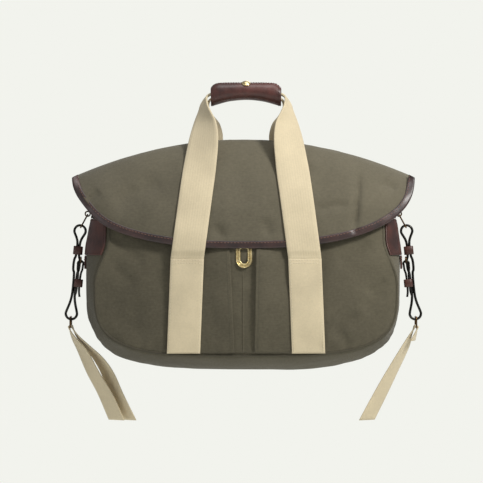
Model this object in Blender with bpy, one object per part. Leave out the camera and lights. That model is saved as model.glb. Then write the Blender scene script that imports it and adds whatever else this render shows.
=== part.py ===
"""A canvas satchel bag with webbing handles, a leather hand grip, a flap and hooks for a shoulder strap.

Metres, +Z up. The front faces -Y. The origin is the middle of the hand grip, from which the bag hangs.
"""
from math import acos, copysign, cos, pi, radians, sin, sqrt

import bmesh
import bpy
from mathutils import Matrix, Vector

# Driving dimensions of the soft body
LEAN = -0.004                    # the waist and the flap hang this far to one side of the grip
MOUTH_Z = -0.150                 # top edges of the panels and the gusset
SEAM_BOTTOM_Z = -0.397           # lowest point of the front and back seams
BASE_Z = -0.4188                 # lowest point of the gusset's middle
SEAM_HALF_WIDTH = 0.2265
SEAM_TOP_HALF_WIDTH = 0.2055
SEAM_CORNER_Z = -0.290           # below this height the seam turns round the corners
SEAM_LEAN_HEIGHT = 0.068         # height above the corners over which the seam leans in to its top width
SEAM_POWER = 3.8
WAIST_HALF_WIDTH = 0.2365        # the gusset's middle, which stands proud of both seams
WAIST_TOP_HALF_WIDTH = 0.214
WAIST_CORNER_Z = -0.275
WAIST_POWER = 3.7
MOUTH_HALF_DEPTH = 0.046
LOW_HALF_DEPTH = 0.066
DEPTH_GROWTH = 0.110             # height over which the body reaches its full depth
CROWN = 0.012                    # how far the panels bulge
PANEL_LEVELS = (-0.150, -0.170, -0.192, -0.212, -0.232, -0.2528, -0.266, -0.278, -0.290, -0.310, -0.332, -0.355,
                -0.376)
PANEL_SHARES = (0, 0.12, 0.24, 0.36, 0.48, 0.60, 0.72, 0.82, 0.90, 0.95, 0.984, 0.9955, 0.999)
SEWN_OFFSET = 0.0056             # from a panel's middle surface to the middle of the strap sewn on it

# Sheet thicknesses, and the gap left between neighbours
CANVAS = 0.0024
POCKET_CLOTH = 0.0020
WEBBING = 0.0022
LEATHER = 0.0024
LINING = 0.0015
GAP = 0.0003
POCKET_GAP = 0.0006
SEAM_ALLOWANCE = 0.0033          # room that the piping takes between a panel and the gusset
PIPING_RADIUS = 0.0022

# Flap
FLAP_CLOTH = 0.0020
FLAP_HALF_WIDTH = 0.258
RIDGE_Z = -0.073
RIDGE_Y = -0.005
EAR_Z = -0.130
FLAP_EDGE_Z = -0.237
FLAP_EDGE_Y = -0.086
EAR_Y = -0.035
FLAP_EDGE_POWER = 2.4
FLAP_DOME_POWER = 1.6
LEFT_EAR_CUT = 0.006             # the edge below the left ear runs straighter than below the right one
HINGE_Y = 0.0465
HINGE_Z = -0.147
HINGE_HALF_WIDTH = 0.200
BINDING_WIDTH = 0.0115
FLAP_TURNS = [pi * k / 32 for k in range(33)]
BINDING = 0.0034

# Handles
STRAP_WIDTH = 0.050
STITCH_Z = -0.2518               # the handles are sewn down below this height
FOLDED_WIDTH = 0.021             # the webbing is folded double inside the grip
FOLDED = 0.0034
GRIP_HALF_LENGTH = 0.053
GRIP_HALF_DEPTH = 0.017
GRIP_TOP_Z = 0.0145
GRIP_BOTTOM_Z = -0.0121
GRIP_END_DROP = 0.0105           # the ends of the grip's underside hang this much lower
TUCK = 0.0018                    # room between the cover and the tongue below it
COVER_HINGE = (0.0, -0.0165, -0.0236)

# The free webbing above the flap: distance from x = 0, distance from y = 0, height, turn from facing
# forward in degrees, width and thickness
FRONT_RISE = (
    (0.0690, 0.0500, -0.110, 12, 0.0500, WEBBING), (0.0640, 0.0345, -0.073, 26, 0.0490, WEBBING),
    (0.0618, 0.0225, -0.047, 40, 0.0440, 0.0024), (0.0625, 0.0145, -0.030, 54, 0.0320, 0.0026),
    (0.0630, 0.0065, -0.0185, 66, 0.0240, 0.0028), (0.0590, 0.0010, -0.0070, 90, FOLDED_WIDTH, FOLDED),
    (0.0470, 0, -0.0012, 90, FOLDED_WIDTH, FOLDED), (0.0330, 0, 0.0015, 90, FOLDED_WIDTH, FOLDED),
    (0.0, 0, 0.0034, 90, FOLDED_WIDTH, FOLDED))
BACK_RISE = (
    (0.0650, 0.0415, -0.098, 12, 0.0500, WEBBING), (0.0560, 0.0300, -0.070, 32, 0.0490, WEBBING),
    (0.0525, 0.0205, -0.049, 54, 0.0440, 0.0024), (0.0545, 0.0150, -0.036, 72, 0.0300, 0.0026),
    (0.0572, 0.0060, -0.0240, 88, 0.0190, 0.0030), (0.0553, 0.0005, -0.0130, 90, 0.0180, FOLDED),
    (0.0460, 0, -0.0088, 90, 0.0190, FOLDED), (0.0340, 0, -0.0060, 90, 0.0190, FOLDED),
    (0.0, 0, -0.0030, 90, 0.0190, FOLDED))

# Front lock
LOCK_X = -0.003
LOCK_Z = -0.2421
LOCK_HALF_WIDTH = 0.0121
LOCK_HALF_LENGTH = 0.0246
LOCK_BAND = 0.0038
LOOP_HALF_WIDTH = 0.00665
LOOP_WIRE = 0.00135
LOOP_TOP_Z = -0.2365
LOOP_LIFT = 0.0019               # height of the loop's wire above the plate's back

# Side hardware, as distances from the body's middle plane
HOOK_Y = 0.004
TAB_HOOK_Y = -0.012
RING_X, RING_Z = 0.2359, -0.1845
RING_RADIUS = 0.0037
SMALL_WIRE = 0.0011
HOOK_TOP_X, HOOK_TOP_Z = 0.2466, -0.2020
HOOK_WIRE = 0.0019
HOOK_LENGTH = 0.1430
HOOK_EYE = 0.0085                # centre-line radius of the upper teardrop
HOOK_LOW_EYE = 0.0085
HOOK_SHANK = ((0.0250, 0.0023), (0.0450, 0.0023), (0.0520, 0.0041), (0.0600, 0.0046), (0.0680, 0.0041),
              (0.0755, 0.0023), (0.1090, 0.0023))
KEEPER_ALONG = 0.0382
HOOK_LEAN = radians(6.0)
TAB_RING_X, TAB_RING_Z = 0.2455, -0.2545
TAB_RING_RADIUS = 0.0043
TAB_HOOK_WIRE = 0.0016
TAB_HOOK_EYE = 0.0042
TAB_HOOK_SHANK = ((0.0130, 0.0036), (0.0215, 0.0019), (0.0445, 0.0019), (0.0545, 0.0038))
TAB_KEEPER_ALONG = 0.0338
STRAP_RING_WIRE = 0.00125
STRAP_RING_HALF_WIDTH = 0.0235
SHOULDER_WIDTH = 0.0375
SHOULDER_CLOTH = 0.0020
STRAP_RING_DROP = 0.0120         # from the hook's foot down to the ring's lower bar
# Each strap's outer run and inner run: distance from the middle plane, height, and turn in degrees
SHOULDER_RUNS = {
    "left": (((0.1922, -0.4970, 40), (0.2095, -0.4575, 38), (0.2275, -0.4257, 33), (0.2440, -0.3920, 25),
              (0.2540, -0.3770, 15), (0.2605, -0.3660, 6)),
             ((0.2520, -0.3690, 7), (0.2385, -0.3840, 17), (0.2205, -0.4030, 27), (0.2060, -0.4257, 33),
              (0.1930, -0.4575, 38), (0.1745, -0.4970, 42))),
    "right": (((0.2570, -0.3770, 11), (0.2610, -0.3660, 6)),
              ((0.2530, -0.3690, 8), (0.2445, -0.3880, 20), (0.2242, -0.4257, 30), (0.2076, -0.4575, 36),
               (0.1871, -0.4970, 40))),
}

MATERIALS = {
    "canvas": ((0.130, 0.118, 0.088), 0.85, 0.0),
    "flap_canvas": ((0.148, 0.135, 0.100), 0.85, 0.0),
    "lining_cloth": ((0.20, 0.18, 0.13), 0.90, 0.0),
    "webbing": ((0.700, 0.600, 0.420), 0.90, 0.0),
    "grip_leather": ((0.095, 0.030, 0.024), 0.38, 0.0),
    "binding_leather": ((0.045, 0.022, 0.020), 0.30, 0.0),
    "side_leather": ((0.100, 0.035, 0.025), 0.50, 0.0),
    "brass": ((0.750, 0.580, 0.260), 0.25, 1.0),
    "bronze": ((0.350, 0.220, 0.110), 0.40, 1.0),
    "black_wire": ((0.030, 0.032, 0.030), 0.45, 0.9),
}


def clamp(value, low=0.0, high=1.0):
    return max(low, min(high, value))


def mix(a, b, t):
    return a + (b - a) * t


def smooth(t):
    t = clamp(t)
    return t * t * (3 - 2 * t)


def steps(first, last, count):
    """Evenly spaced values from first to last, both included."""
    return [mix(first, last, i / (count - 1)) for i in range(count)]


# ---------------------------------------------------------------- mesh building

def clear_scene():
    for obj in list(bpy.data.objects):
        bpy.data.objects.remove(obj)


def material(name):
    made = bpy.data.materials.get(name)
    if made is None:
        color, roughness, metallic = MATERIALS[name]
        made = bpy.data.materials.new(name)
        made.use_nodes = True
        shader = made.node_tree.nodes["Principled BSDF"]
        shader.inputs["Base Color"].default_value = (*color, 1.0)
        shader.inputs["Roughness"].default_value = roughness
        shader.inputs["Metallic"].default_value = metallic
    return made


def pivot(name, location):
    """An empty on a joint's axis, which a moving piece hangs on."""
    empty = bpy.data.objects.new(name, None)
    empty.location = location
    bpy.context.collection.objects.link(empty)
    return empty


def add_object(name, points, faces, finish, on=None):
    """Makes a closed mesh object from world points, with its faces outward, hung on an empty if one is given."""
    origin = Vector(on.location) if on else Vector()
    mesh = bpy.data.meshes.new(name)
    mesh.from_pydata([Vector(p) - origin for p in points], [], faces)
    shaped = bmesh.new()
    shaped.from_mesh(mesh)
    bmesh.ops.recalc_face_normals(shaped, faces=shaped.faces)
    if shaped.calc_volume(signed=True) < 0:
        bmesh.ops.reverse_faces(shaped, faces=shaped.faces)
    shaped.to_mesh(mesh)
    shaped.free()
    mesh.materials.append(material(finish))
    mesh.shade_smooth()
    mesh.set_sharp_from_angle(angle=radians(40))
    obj = bpy.data.objects.new(name, mesh)
    obj.parent = on
    bpy.context.collection.objects.link(obj)
    return obj


def grid_normals(rows):
    """Unit normals at the points of a grid, from their neighbours."""
    last_row, last_column = len(rows) - 1, len(rows[0]) - 1
    normals = []
    for i, row in enumerate(rows):
        line = []
        for j in range(len(row)):
            down = rows[min(i + 1, last_row)][j] - rows[max(i - 1, 0)][j]
            across = row[min(j + 1, last_column)] - row[max(j - 1, 0)]
            line.append(down.cross(across).normalized())
        normals.append(line)
    return normals


def sheet(name, rows, thickness, finish, on=None, direction=None):
    """A closed sheet around a grid of middle points; thickness is one number, or one for each row.

    The thickness lies along the grid's normals, or along one direction if it is given."""
    height, width = len(rows), len(rows[0])
    half = [t / 2 for t in thickness] if isinstance(thickness, list) else [thickness / 2] * height
    normals = [[direction] * width] * height if direction else grid_normals(rows)
    points = [p + n * side * h for side in (1, -1)
              for row, line, h in zip(rows, normals, half) for p, n in zip(row, line)]
    back = height * width
    faces = []
    for i in range(height - 1):
        for j in range(width - 1):
            a, b = i * width + j, (i + 1) * width + j
            faces += [(a, a + 1, b + 1, b), (back + a, back + b, back + b + 1, back + a + 1)]
    rim = [j for j in range(width)]
    rim += [i * width + width - 1 for i in range(1, height)]
    rim += [(height - 1) * width + j for j in range(width - 2, -1, -1)]
    rim += [i * width for i in range(height - 2, 0, -1)]
    faces += [(a, back + a, back + b, b) for a, b in zip(rim, rim[1:] + rim[:1])]
    return add_object(name, points, faces, finish, on)


def tube(name, path, radius, finish, sides=6, closed=False, on=None):
    """A round wire along a path, with flat ends unless it is closed."""
    count = len(path)
    points, across = [], None
    for i, here in enumerate(path):
        before = path[(i - 1) % count] if closed or i else here
        after = path[(i + 1) % count] if closed or i < count - 1 else here
        along = (after - before).normalized()
        if across is None:
            across = along.orthogonal()
        across = (across - along * across.dot(along)).normalized()
        other = along.cross(across)
        for k in range(sides):
            turn = 2 * pi * k / sides
            points.append(here + (across * cos(turn) + other * sin(turn)) * radius)
    rounds = count if closed else count - 1
    faces = []
    for i in range(rounds):
        for k in range(sides):
            a, b = i * sides, (i + 1) % count * sides
            faces.append((a + k, a + (k + 1) % sides, b + (k + 1) % sides, b + k))
    if not closed:
        faces += [tuple(range(sides)), tuple((count - 1) * sides + k for k in range(sides))]
    return add_object(name, points, faces, finish, on)


def turned(name, profile, place, finish, sides=16, on=None):
    """A piece turned about place's local Z, from (radius, height) points that start and end on the axis."""
    points = [place @ Vector((0, 0, profile[0][1]))]
    for radius, height in profile[1:-1]:
        points += [place @ Vector((radius * cos(2 * pi * k / sides), radius * sin(2 * pi * k / sides), height))
                   for k in range(sides)]
    points.append(place @ Vector((0, 0, profile[-1][1])))
    rings = len(profile) - 2
    faces = [(0, 1 + k, 1 + (k + 1) % sides) for k in range(sides)]
    for i in range(rings - 1):
        a, b = 1 + i * sides, 1 + (i + 1) * sides
        faces += [(a + k, b + k, b + (k + 1) % sides, a + (k + 1) % sides) for k in range(sides)]
    top, end = 1 + (rings - 1) * sides, len(points) - 1
    faces += [(end, top + (k + 1) % sides, top + k) for k in range(sides)]
    return add_object(name, points, faces, finish, on)


def ring_stack(name, rings, finish, on=None):
    """A closed band: each ring of points is joined to the next, and the last to the first."""
    count, total = len(rings[0]), len(rings)
    faces = [(i * count + k, i * count + (k + 1) % count, (i + 1) % total * count + (k + 1) % count,
              (i + 1) % total * count + k) for i in range(total) for k in range(count)]
    return add_object(name, [p for ring in rings for p in ring], faces, finish, on)


def oblong(half_width, half_length, count):
    """A flat oblong with round ends, as (across, along) points."""
    straight = half_length - half_width
    return [(half_width * cos(t), half_width * sin(t) + copysign(straight, sin(t)))
            for t in (2 * pi * (k + 0.5) / count for k in range(count))]


# ---------------------------------------------------------------- the body's surface

def side_half_width(z, widest, top, corner_z):
    rise = clamp((z - corner_z) / (MOUTH_Z - corner_z))
    return widest - (widest - top) * rise ** 2


def seam_half_width(z, widest, top, corner_z):
    """The same for the seams, which lean in just above the corners and then rise straight to the mouth."""
    return widest - (widest - top) * smooth(clamp((z - corner_z) / SEAM_LEAN_HEIGHT))


def outline(s, widest, top, corner_z, bottom_z, power, side=side_half_width, side_share=0.17):
    """A point (x, z) on an outline open at the top: s runs from 0, top left, round the bottom to 1, top right."""
    if s < side_share or s > 1 - side_share:
        z = mix(MOUTH_Z, corner_z, min(s, 1 - s) / side_share)
        return copysign(side(z, widest, top, corner_z), s - 0.5), z
    turn = pi * (s - side_share) / (1 - 2 * side_share)
    across, down = cos(turn), sin(turn)
    x = -widest * copysign(abs(across) ** (2 / power), across)
    return x, corner_z - (corner_z - bottom_z) * abs(down) ** (2 / power)


def seam_point(s, inset=0.0):
    return outline(s, SEAM_HALF_WIDTH - inset, SEAM_TOP_HALF_WIDTH - inset, SEAM_CORNER_Z,
                   SEAM_BOTTOM_Z + inset, SEAM_POWER, seam_half_width)


def waist_point(s, inset=0.0):
    x, z = outline(s, WAIST_HALF_WIDTH - inset, WAIST_TOP_HALF_WIDTH - inset, WAIST_CORNER_Z,
                   BASE_Z + inset, WAIST_POWER)
    return x + LEAN, z


def half_depth(x, z):
    """Distance of a panel's middle surface from the plane y = 0."""
    seam = mix(MOUTH_HALF_DEPTH, LOW_HALF_DEPTH, smooth((MOUTH_Z - z) / DEPTH_GROWTH))
    middle = (MOUTH_Z + SEAM_BOTTOM_Z) / 2
    across = 1 - min(abs(x) / SEAM_HALF_WIDTH, 1) ** 2.5
    down = 1 - min(abs(z - middle) / (MOUTH_Z - middle), 1) ** 2.5
    return seam + CROWN * across * down


def gusset_point(s, t):
    """A point on the gusset: s along the outline, t from -1 at the back seam to 1 at the front seam."""
    (waist_x, waist_z), (seam_x, seam_z) = waist_point(s), seam_point(s)
    return Vector((mix(waist_x, seam_x, t * t), -t * half_depth(seam_x, seam_z),
                   mix(waist_z, seam_z, t * t)))


def panel_rows(side):
    """A front (side -1) or back (side 1) panel: columns across, from the mouth down to the seam."""
    widest, drop = SEAM_HALF_WIDTH - SEAM_ALLOWANCE, SEAM_CORNER_Z - SEAM_BOTTOM_Z - SEAM_ALLOWANCE
    shares = [-share for share in PANEL_SHARES[:0:-1]] + list(PANEL_SHARES)
    rows = []
    for level in (*PANEL_LEVELS, SEAM_BOTTOM_Z + SEAM_ALLOWANCE):
        reach = seam_half_width(level, widest, SEAM_TOP_HALF_WIDTH - SEAM_ALLOWANCE, SEAM_CORNER_Z)
        down = max(SEAM_CORNER_Z - level, 0) * drop / (SEAM_CORNER_Z - SEAM_BOTTOM_Z - SEAM_ALLOWANCE)
        row = []
        for share in shares:
            z = max(level, SEAM_CORNER_Z) - down * (1 - abs(share) ** SEAM_POWER) ** (1 / SEAM_POWER)
            row.append(Vector((share * reach, side * half_depth(share * reach, z), z)))
        rows.append(row)
    return rows


def make_panels():
    for name, side in (("front_panel", -1), ("back_panel", 1)):
        sheet(name, panel_rows(side), CANVAS, "canvas", direction=Vector((0, side, 0)))


def make_gusset():
    edge = 1 - SEAM_ALLOWANCE / LOW_HALF_DEPTH
    stations = [*steps(0, 0.17, 14), *steps(0.17, 0.83, 25)[1:], *steps(0.83, 1, 14)[1:]]
    rows = [[gusset_point(s, t) for t in steps(-edge, edge, 9)] for s in stations]
    sheet("gusset", rows, CANVAS, "canvas")


def make_piping():
    stations = [*steps(0.002, 0.17, 10), *steps(0.17, 0.83, 25)[1:], *steps(0.83, 0.998, 10)[1:]]
    for name, side in (("front_piping", -1), ("back_piping", 1)):
        path = [Vector((x, side * half_depth(x, z), z)) for x, z in map(seam_point, stations)]
        tube(name, path, PIPING_RADIUS, "canvas", sides=5)


# ---------------------------------------------------------------- lining and pockets

def lining_size(z):
    """The lining's half width and half depth at a height."""
    clearance = 0.0080
    reach = clamp((WAIST_CORNER_Z - z) / (WAIST_CORNER_Z - BASE_Z))
    waist = side_half_width(z, WAIST_HALF_WIDTH, WAIST_TOP_HALF_WIDTH, WAIST_CORNER_Z)
    depth = half_depth(0, z)
    if z < SEAM_BOTTOM_Z:
        depth *= sqrt((z - BASE_Z) / (SEAM_BOTTOM_Z - BASE_Z))
    return waist * (1 - reach ** WAIST_POWER) ** (1 / WAIST_POWER) - clearance, depth - clearance


def lining_ring(z, inset, count=28, power=2.8):
    half_width, half_depth_here = (size - inset for size in lining_size(z))
    ring = []
    for k in range(count):
        turn = 2 * pi * k / count
        x = half_width * copysign(abs(cos(turn)) ** (2 / power), cos(turn))
        y = half_depth_here * copysign(abs(sin(turn)) ** (2 / power), sin(turn))
        ring.append(Vector((x + LEAN, y, z)))
    return ring


def make_lining():
    """One open tub: an outer and an inner wall, joined by a rim at the mouth."""
    heights = [MOUTH_Z - 0.004, -0.180, -0.215, -0.260, -0.310, -0.350, -0.380, -0.395, -0.4055]
    outer = [lining_ring(z, 0) for z in heights]
    lift = [0] + [LINING] * (len(heights) - 1)
    inner = [[p + Vector((0, 0, up)) for p in lining_ring(z, LINING)] for z, up in zip(heights, lift)]
    rings = outer[::-1] + inner
    count = len(rings[0])
    faces = [(i * count + k, i * count + (k + 1) % count, (i + 1) * count + (k + 1) % count,
              (i + 1) * count + k) for i in range(len(rings) - 1) for k in range(count)]
    faces += [tuple(range(count)), tuple((len(rings) - 1) * count + k for k in range(count))]
    add_object("lining", [p for ring in rings for p in ring], faces, "lining_cloth")


def make_inner_pocket():
    """A flat pocket sewn to the lining's back wall."""
    rows = []
    for z in steps(-0.330, -0.205, 6):
        half_width, half_depth_here = (size - LINING for size in lining_size(z))
        row = []
        for x in steps(-0.085, 0.085, 7):
            wall = half_depth_here * (1 - abs(x / half_width) ** 2.8) ** (1 / 2.8)
            row.append(Vector((x + LEAN, wall - 2.5 * LINING, z)))
        rows.append(row)
    sheet("inner_pocket", rows, LINING, "lining_cloth")


def make_front_pocket():
    """The pocket lies flat on the front panel; its two fold edges stand out beside the sunken pleat."""
    flush, raised = CANVAS / 2 + POCKET_GAP + POCKET_CLOTH / 2, 0.0055
    section = [(-0.094, flush), (-0.075, flush), (-0.050, 0.0036), (-0.030, raised), (-0.0262, raised),
               (-0.0250, flush), (-0.0045, flush), (0.0142, flush), (0.0154, raised), (0.030, raised),
               (0.050, 0.0036), (0.075, flush), (0.094, flush)]
    rows = [[Vector((x, -half_depth(x, z) - proud, z)) for x, proud in section]
            for z in (*PANEL_LEVELS[3:], -0.392)]
    sheet("front_pocket", rows, POCKET_CLOTH, "canvas", direction=Vector((0, 1, 0)))


# ---------------------------------------------------------------- flap

def ridge_z(x):
    return RIDGE_Z - (RIDGE_Z - EAR_Z) * min(abs(x) / FLAP_HALF_WIDTH, 1) ** 2


def flap_edge(turn):
    """A point (x, y, z) on the flap's lower edge: turn is 0 at the right ear and pi at the left one."""
    across, down = cos(turn), max(sin(turn), 0)
    x = FLAP_HALF_WIDTH * copysign(abs(across) ** (2 / FLAP_EDGE_POWER), across)
    if across < 0:
        x += LEFT_EAR_CUT * sin(pi * min(down / 0.75, 1)) ** 2
    z = EAR_Z - (EAR_Z - FLAP_EDGE_Z) * down ** (2 / FLAP_EDGE_POWER)
    return x, mix(EAR_Y, FLAP_EDGE_Y, down ** 0.82), z


def dome(fall):
    """How far the flap has come forward, as a share, when it has fallen this share of its height."""
    return (1 - (1 - clamp(fall)) ** FLAP_DOME_POWER) ** (1 / FLAP_DOME_POWER)


def flap_front_y(x, z):
    """The flap's middle surface in front of the ridge; x is measured from the flap's middle."""
    turn = acos(clamp(abs(x) / FLAP_HALF_WIDTH) ** (FLAP_EDGE_POWER / 2))
    _, edge_y, edge_z = flap_edge(turn)
    top = ridge_z(x)
    return mix(RIDGE_Y, edge_y, dome((top - z) / max(top - edge_z, 1e-6)))


def flap_back_y(x, z):
    top = ridge_z(x)
    return mix(RIDGE_Y, HINGE_Y, dome((top - z) / (top - HINGE_Z)))


def binding_inner_edge(turn, width):
    """The flap's edge moved inward by a width, seen from the front."""
    ahead, behind = flap_edge(min(turn + 1e-3, pi)), flap_edge(max(turn - 1e-3, 0))
    along = Vector((ahead[0] - behind[0], ahead[2] - behind[2])).normalized()
    x, _, z = flap_edge(turn)
    return x + along.y * width, z - along.x * width


def make_flap(on):
    """Columns from the hinge up over the ridge and down to the binding."""
    turns = [FLAP_TURNS[2], *FLAP_TURNS[4:-4], FLAP_TURNS[-3]]
    columns = []
    for turn in turns:
        x, low_z = binding_inner_edge(turn, BINDING_WIDTH + GAP * (2.5 + 3 * (1 - sin(turn))))
        top_z = ridge_z(x)
        low_z = min(low_z, top_z - 0.004)
        hinge_x = x * HINGE_HALF_WIDTH / (FLAP_HALF_WIDTH - BINDING_WIDTH)
        column = []
        for t in steps(0, 1, 6)[:-1]:
            z = mix(HINGE_Z + GAP, top_z, sin(t * pi / 2))
            column.append(Vector((mix(hinge_x, x, t) + LEAN, flap_back_y(x, z), z)))
        for t in steps(0, 1, 8):
            z = mix(top_z, low_z, 1 - cos(t * pi / 2))
            column.append(Vector((x + LEAN, flap_front_y(x, z), z)))
        columns.append(column)
    sheet("flap_panel", [list(row) for row in zip(*columns)], FLAP_CLOTH, "flap_canvas", on)


def make_binding(on):
    rows = []
    for turn in FLAP_TURNS:
        x, y, z = flap_edge(turn)
        inner_x, inner_z = binding_inner_edge(turn, BINDING_WIDTH)
        inner_y = flap_front_y(inner_x, inner_z)
        rows.append([Vector((mix(x, inner_x, t) + LEAN, mix(y, inner_y, t), mix(z, inner_z, t)))
                     for t in (0, 0.5, 1)])
    sheet("flap_binding", rows, BINDING, "binding_leather", on)


def make_flap_stud(on):
    """A brass stud under the flap that catches in the upper half of the lock plate."""
    profile = [(0, 0.0), (0.0042, 0.0), (0.0042, 0.0008), (0.0026, 0.0010), (0.0026, 0.0024),
               (0.0035, 0.0028), (0.0030, 0.0036), (0, 0.0039)]
    place = Matrix.Translation((LOCK_X, FLAP_EDGE_Y + BINDING / 2 + 4 * GAP, -0.2287))
    turned("flap_stud", profile, place @ Matrix.Rotation(radians(-90), 4, "X"), "brass", sides=12, on=on)


# ---------------------------------------------------------------- handles

def strap_x(side, z, front):
    """The middle of a handle strap at a height: side is -1 for the left one."""
    bottom, stitch, shoulder, ridge = 0.0939, 0.0880, 0.0745, 0.0635
    if not front:
        ridge = 0.0560
    levels = [(SEAM_BOTTOM_Z, bottom), (STITCH_Z, stitch), (-0.150, shoulder), (RIDGE_Z, ridge)]
    for (low, x_low), (high, x_high) in zip(levels, levels[1:]):
        if z <= high:
            return side * mix(x_low, x_high, clamp((z - low) / (high - low)))
    return side * ridge


def make_sewn_straps():
    for end, facing in (("front", -1), ("back", 1)):
        for hand, side in (("left", -1), ("right", 1)):
            rows = []
            for z in (*PANEL_LEVELS[5:], -0.3935):
                middle = strap_x(side, z, facing < 0)
                across = steps(middle - STRAP_WIDTH / 2, middle + STRAP_WIDTH / 2, 5)
                rows.append([Vector((x, facing * (half_depth(x, z) + SEWN_OFFSET), z)) for x in across])
            sheet(f"{end}_strap_sewn_{hand}", rows, WEBBING, "webbing", direction=Vector((0, 1, 0)))


def strap_reach(x, z, front):
    """How far from y = 0 the free strap lies over the panel or the flap."""
    sewn = half_depth(x, z) + SEWN_OFFSET
    if front:
        over_flap = 0.0038 - flap_front_y(x - LEAN, z)
        return mix(sewn, over_flap, clamp((z - STITCH_Z) / 0.0125))
    if z >= HINGE_Z:
        return flap_back_y(x - LEAN, z) + 0.0034
    return max(sewn, HINGE_Y + 0.0034)


def low_strap_rows(side, facing):
    """The free strap's lower part, which lies over the panel and then over the flap."""
    front = facing < 0
    heights = (STITCH_Z, -0.247, -0.240, -0.225, -0.205, -0.180, -0.155, -0.132)
    if not front:
        heights = (STITCH_Z, -0.225, -0.195, -0.170, -0.147, -0.126)
    rows = []
    for z in heights:
        middle = strap_x(side, z, front)
        rows.append([Vector((x, facing * strap_reach(x, z, front), z))
                     for x in steps(middle - STRAP_WIDTH / 2, middle + STRAP_WIDTH / 2, 3)])
    return rows


def high_strap_rows(side, facing):
    """The strap turns edge on as it rises, with its inner edge outermost, and bends into the grip."""
    rows, thickness = [], []
    for x, reach, z, turn, width, cloth in FRONT_RISE if facing < 0 else BACK_RISE:
        across = Vector((cos(radians(turn)), facing * side * -sin(radians(turn)), 0)) * width / 2
        middle = Vector((side * x, facing * reach, z))
        rows.append([middle - across, middle, middle + across])
        thickness.append(cloth)
    return rows, thickness


def make_free_strap(name, facing, on):
    """One handle's free webbing: up from the left stitch line, through the grip, and down to the right one."""
    rows, thickness = [], []
    for side in (-1, 1):
        low = low_strap_rows(side, facing)
        high, cloth = high_strap_rows(side, facing)
        half_rows, half_cloth = low + high, [WEBBING] * len(low) + cloth
        if side < 0:
            rows, thickness = half_rows, half_cloth
        else:
            rows += [row[::-1] for row in half_rows[-2::-1]]
            thickness += half_cloth[-2::-1]
    sheet(name, rows, thickness, "webbing", on)


# ---------------------------------------------------------------- grip

def grip_section(x, turn, inset):
    """A point of the grip's cross-section: turn is measured from the top towards the front."""
    share = (abs(x) / GRIP_HALF_LENGTH) ** 2
    top = GRIP_TOP_Z - 0.0015 * share ** 2
    bottom = GRIP_BOTTOM_Z - GRIP_END_DROP * share
    middle, half_height = (top + bottom) / 2, (top - bottom) / 2
    return Vector((x, -(GRIP_HALF_DEPTH - inset) * sin(turn), middle + (half_height - inset) * cos(turn)))


def leather_sector(name, turns, insets, on):
    """Part of the leather round the grip, between two angles, at a depth below the outer surface."""
    rows = [[grip_section(x, radians(turn), inset + LEATHER / 2)
             for turn, inset in zip(turns, insets)]
            for x in steps(-GRIP_HALF_LENGTH, GRIP_HALF_LENGTH, 9)]
    return sheet(name, rows, LEATHER, "grip_leather", on)


def make_grip(handle, cover):
    """The wrap covers the back and tucks a tongue under the cover, which closes the front over both handles."""
    tongue = LEATHER + TUCK
    wrap_turns = [*steps(152, 358, 11), 370, 382, 394]
    leather_sector("grip_wrap", wrap_turns, [0.0] * 11 + [tongue] * 3, handle)
    leather_sector("grip_cover", steps(14, 150, 9), [0.0] * 9, cover)
    press = radians(34)
    for name, depth, profile, on in (
            ("grip_stud", 0.0, [(0, 0.0003), (0.0066, 0.0003), (0.0066, 0.0010), (0.0052, 0.0024), (0, 0.0034)],
             cover),
            ("grip_stud_socket", LEATHER + TUCK,
             [(0, 0.0003), (0.0030, 0.0003), (0.0030, 0.0007), (0.0018, 0.0010), (0, 0.0010)], handle)):
        place = Matrix.Translation(grip_section(0, press, depth)) @ Matrix.Rotation(press, 4, "X")
        turned(name, profile, place, "brass", sides=16, on=on)


# ---------------------------------------------------------------- front lock

def lock_frame():
    """The lock plate's place on the pleat: local X across, Y up the sloping panel, Z outward."""
    low, high = LOCK_Z - 0.02, LOCK_Z + 0.02
    up = Vector((0, half_depth(0, low) - half_depth(0, high), high - low)).normalized()
    across = Vector((1, 0, 0))
    cloth = CANVAS / 2 + POCKET_GAP + POCKET_CLOTH
    middle = Vector((LOCK_X, -half_depth(0, LOCK_Z) - cloth - 2 * GAP, LOCK_Z))
    return Matrix.Translation(middle) @ Matrix((across, up, across.cross(up))).transposed().to_4x4()


def make_lock_plate():
    """An oblong plate with an oblong opening."""
    frame = lock_frame()
    count = 24
    outer = oblong(LOCK_HALF_WIDTH, LOCK_HALF_LENGTH, count)
    inner = oblong(LOCK_HALF_WIDTH - LOCK_BAND, LOCK_HALF_LENGTH - LOCK_BAND, count)
    rings = [[frame @ Vector((x, y, z)) for x, y in ring]
             for ring, z in ((outer, 0), (outer, 0.0020), (inner, 0.0020), (inner, 0))]
    ring_stack("lock_plate", rings, "brass")


def make_lock_loop(on):
    """A wire loop that lies in the plate's opening: a straight top bar, two legs and a round foot."""
    frame = lock_frame()
    top = (LOOP_TOP_Z - LOCK_Z) / frame.col[1].z
    foot = LOCK_BAND + GAP + LOOP_WIRE - LOCK_HALF_LENGTH
    width, corner = LOOP_HALF_WIDTH, 0.0030
    path = [(corner - width, top), (0, top), (width - corner, top), (width, top - corner)]
    path += [(width * cos(t), foot + width * (1 - sin(t))) for t in steps(0, pi, 9)]
    path += [(-width, top - corner)]
    points = [frame @ Vector((x, y, LOOP_LIFT)) for x, y in path]
    tube("lock_loop", points, LOOP_WIRE, "brass", sides=8, closed=True, on=on)


def make_loop_clip(loop_pivot):
    """A small brass clip round the loop's top bar."""
    radius = LOOP_WIRE + GAP + 0.0003
    rows = [[loop_pivot.location + Vector((x, -radius * cos(radians(turn)), radius * sin(radians(turn))))
             for turn in steps(-25, 150, 8)] for x in (-0.0025, 0, 0.0025)]
    sheet("loop_clip", rows, 0.0006, "brass")


# ---------------------------------------------------------------- side hardware

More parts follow.
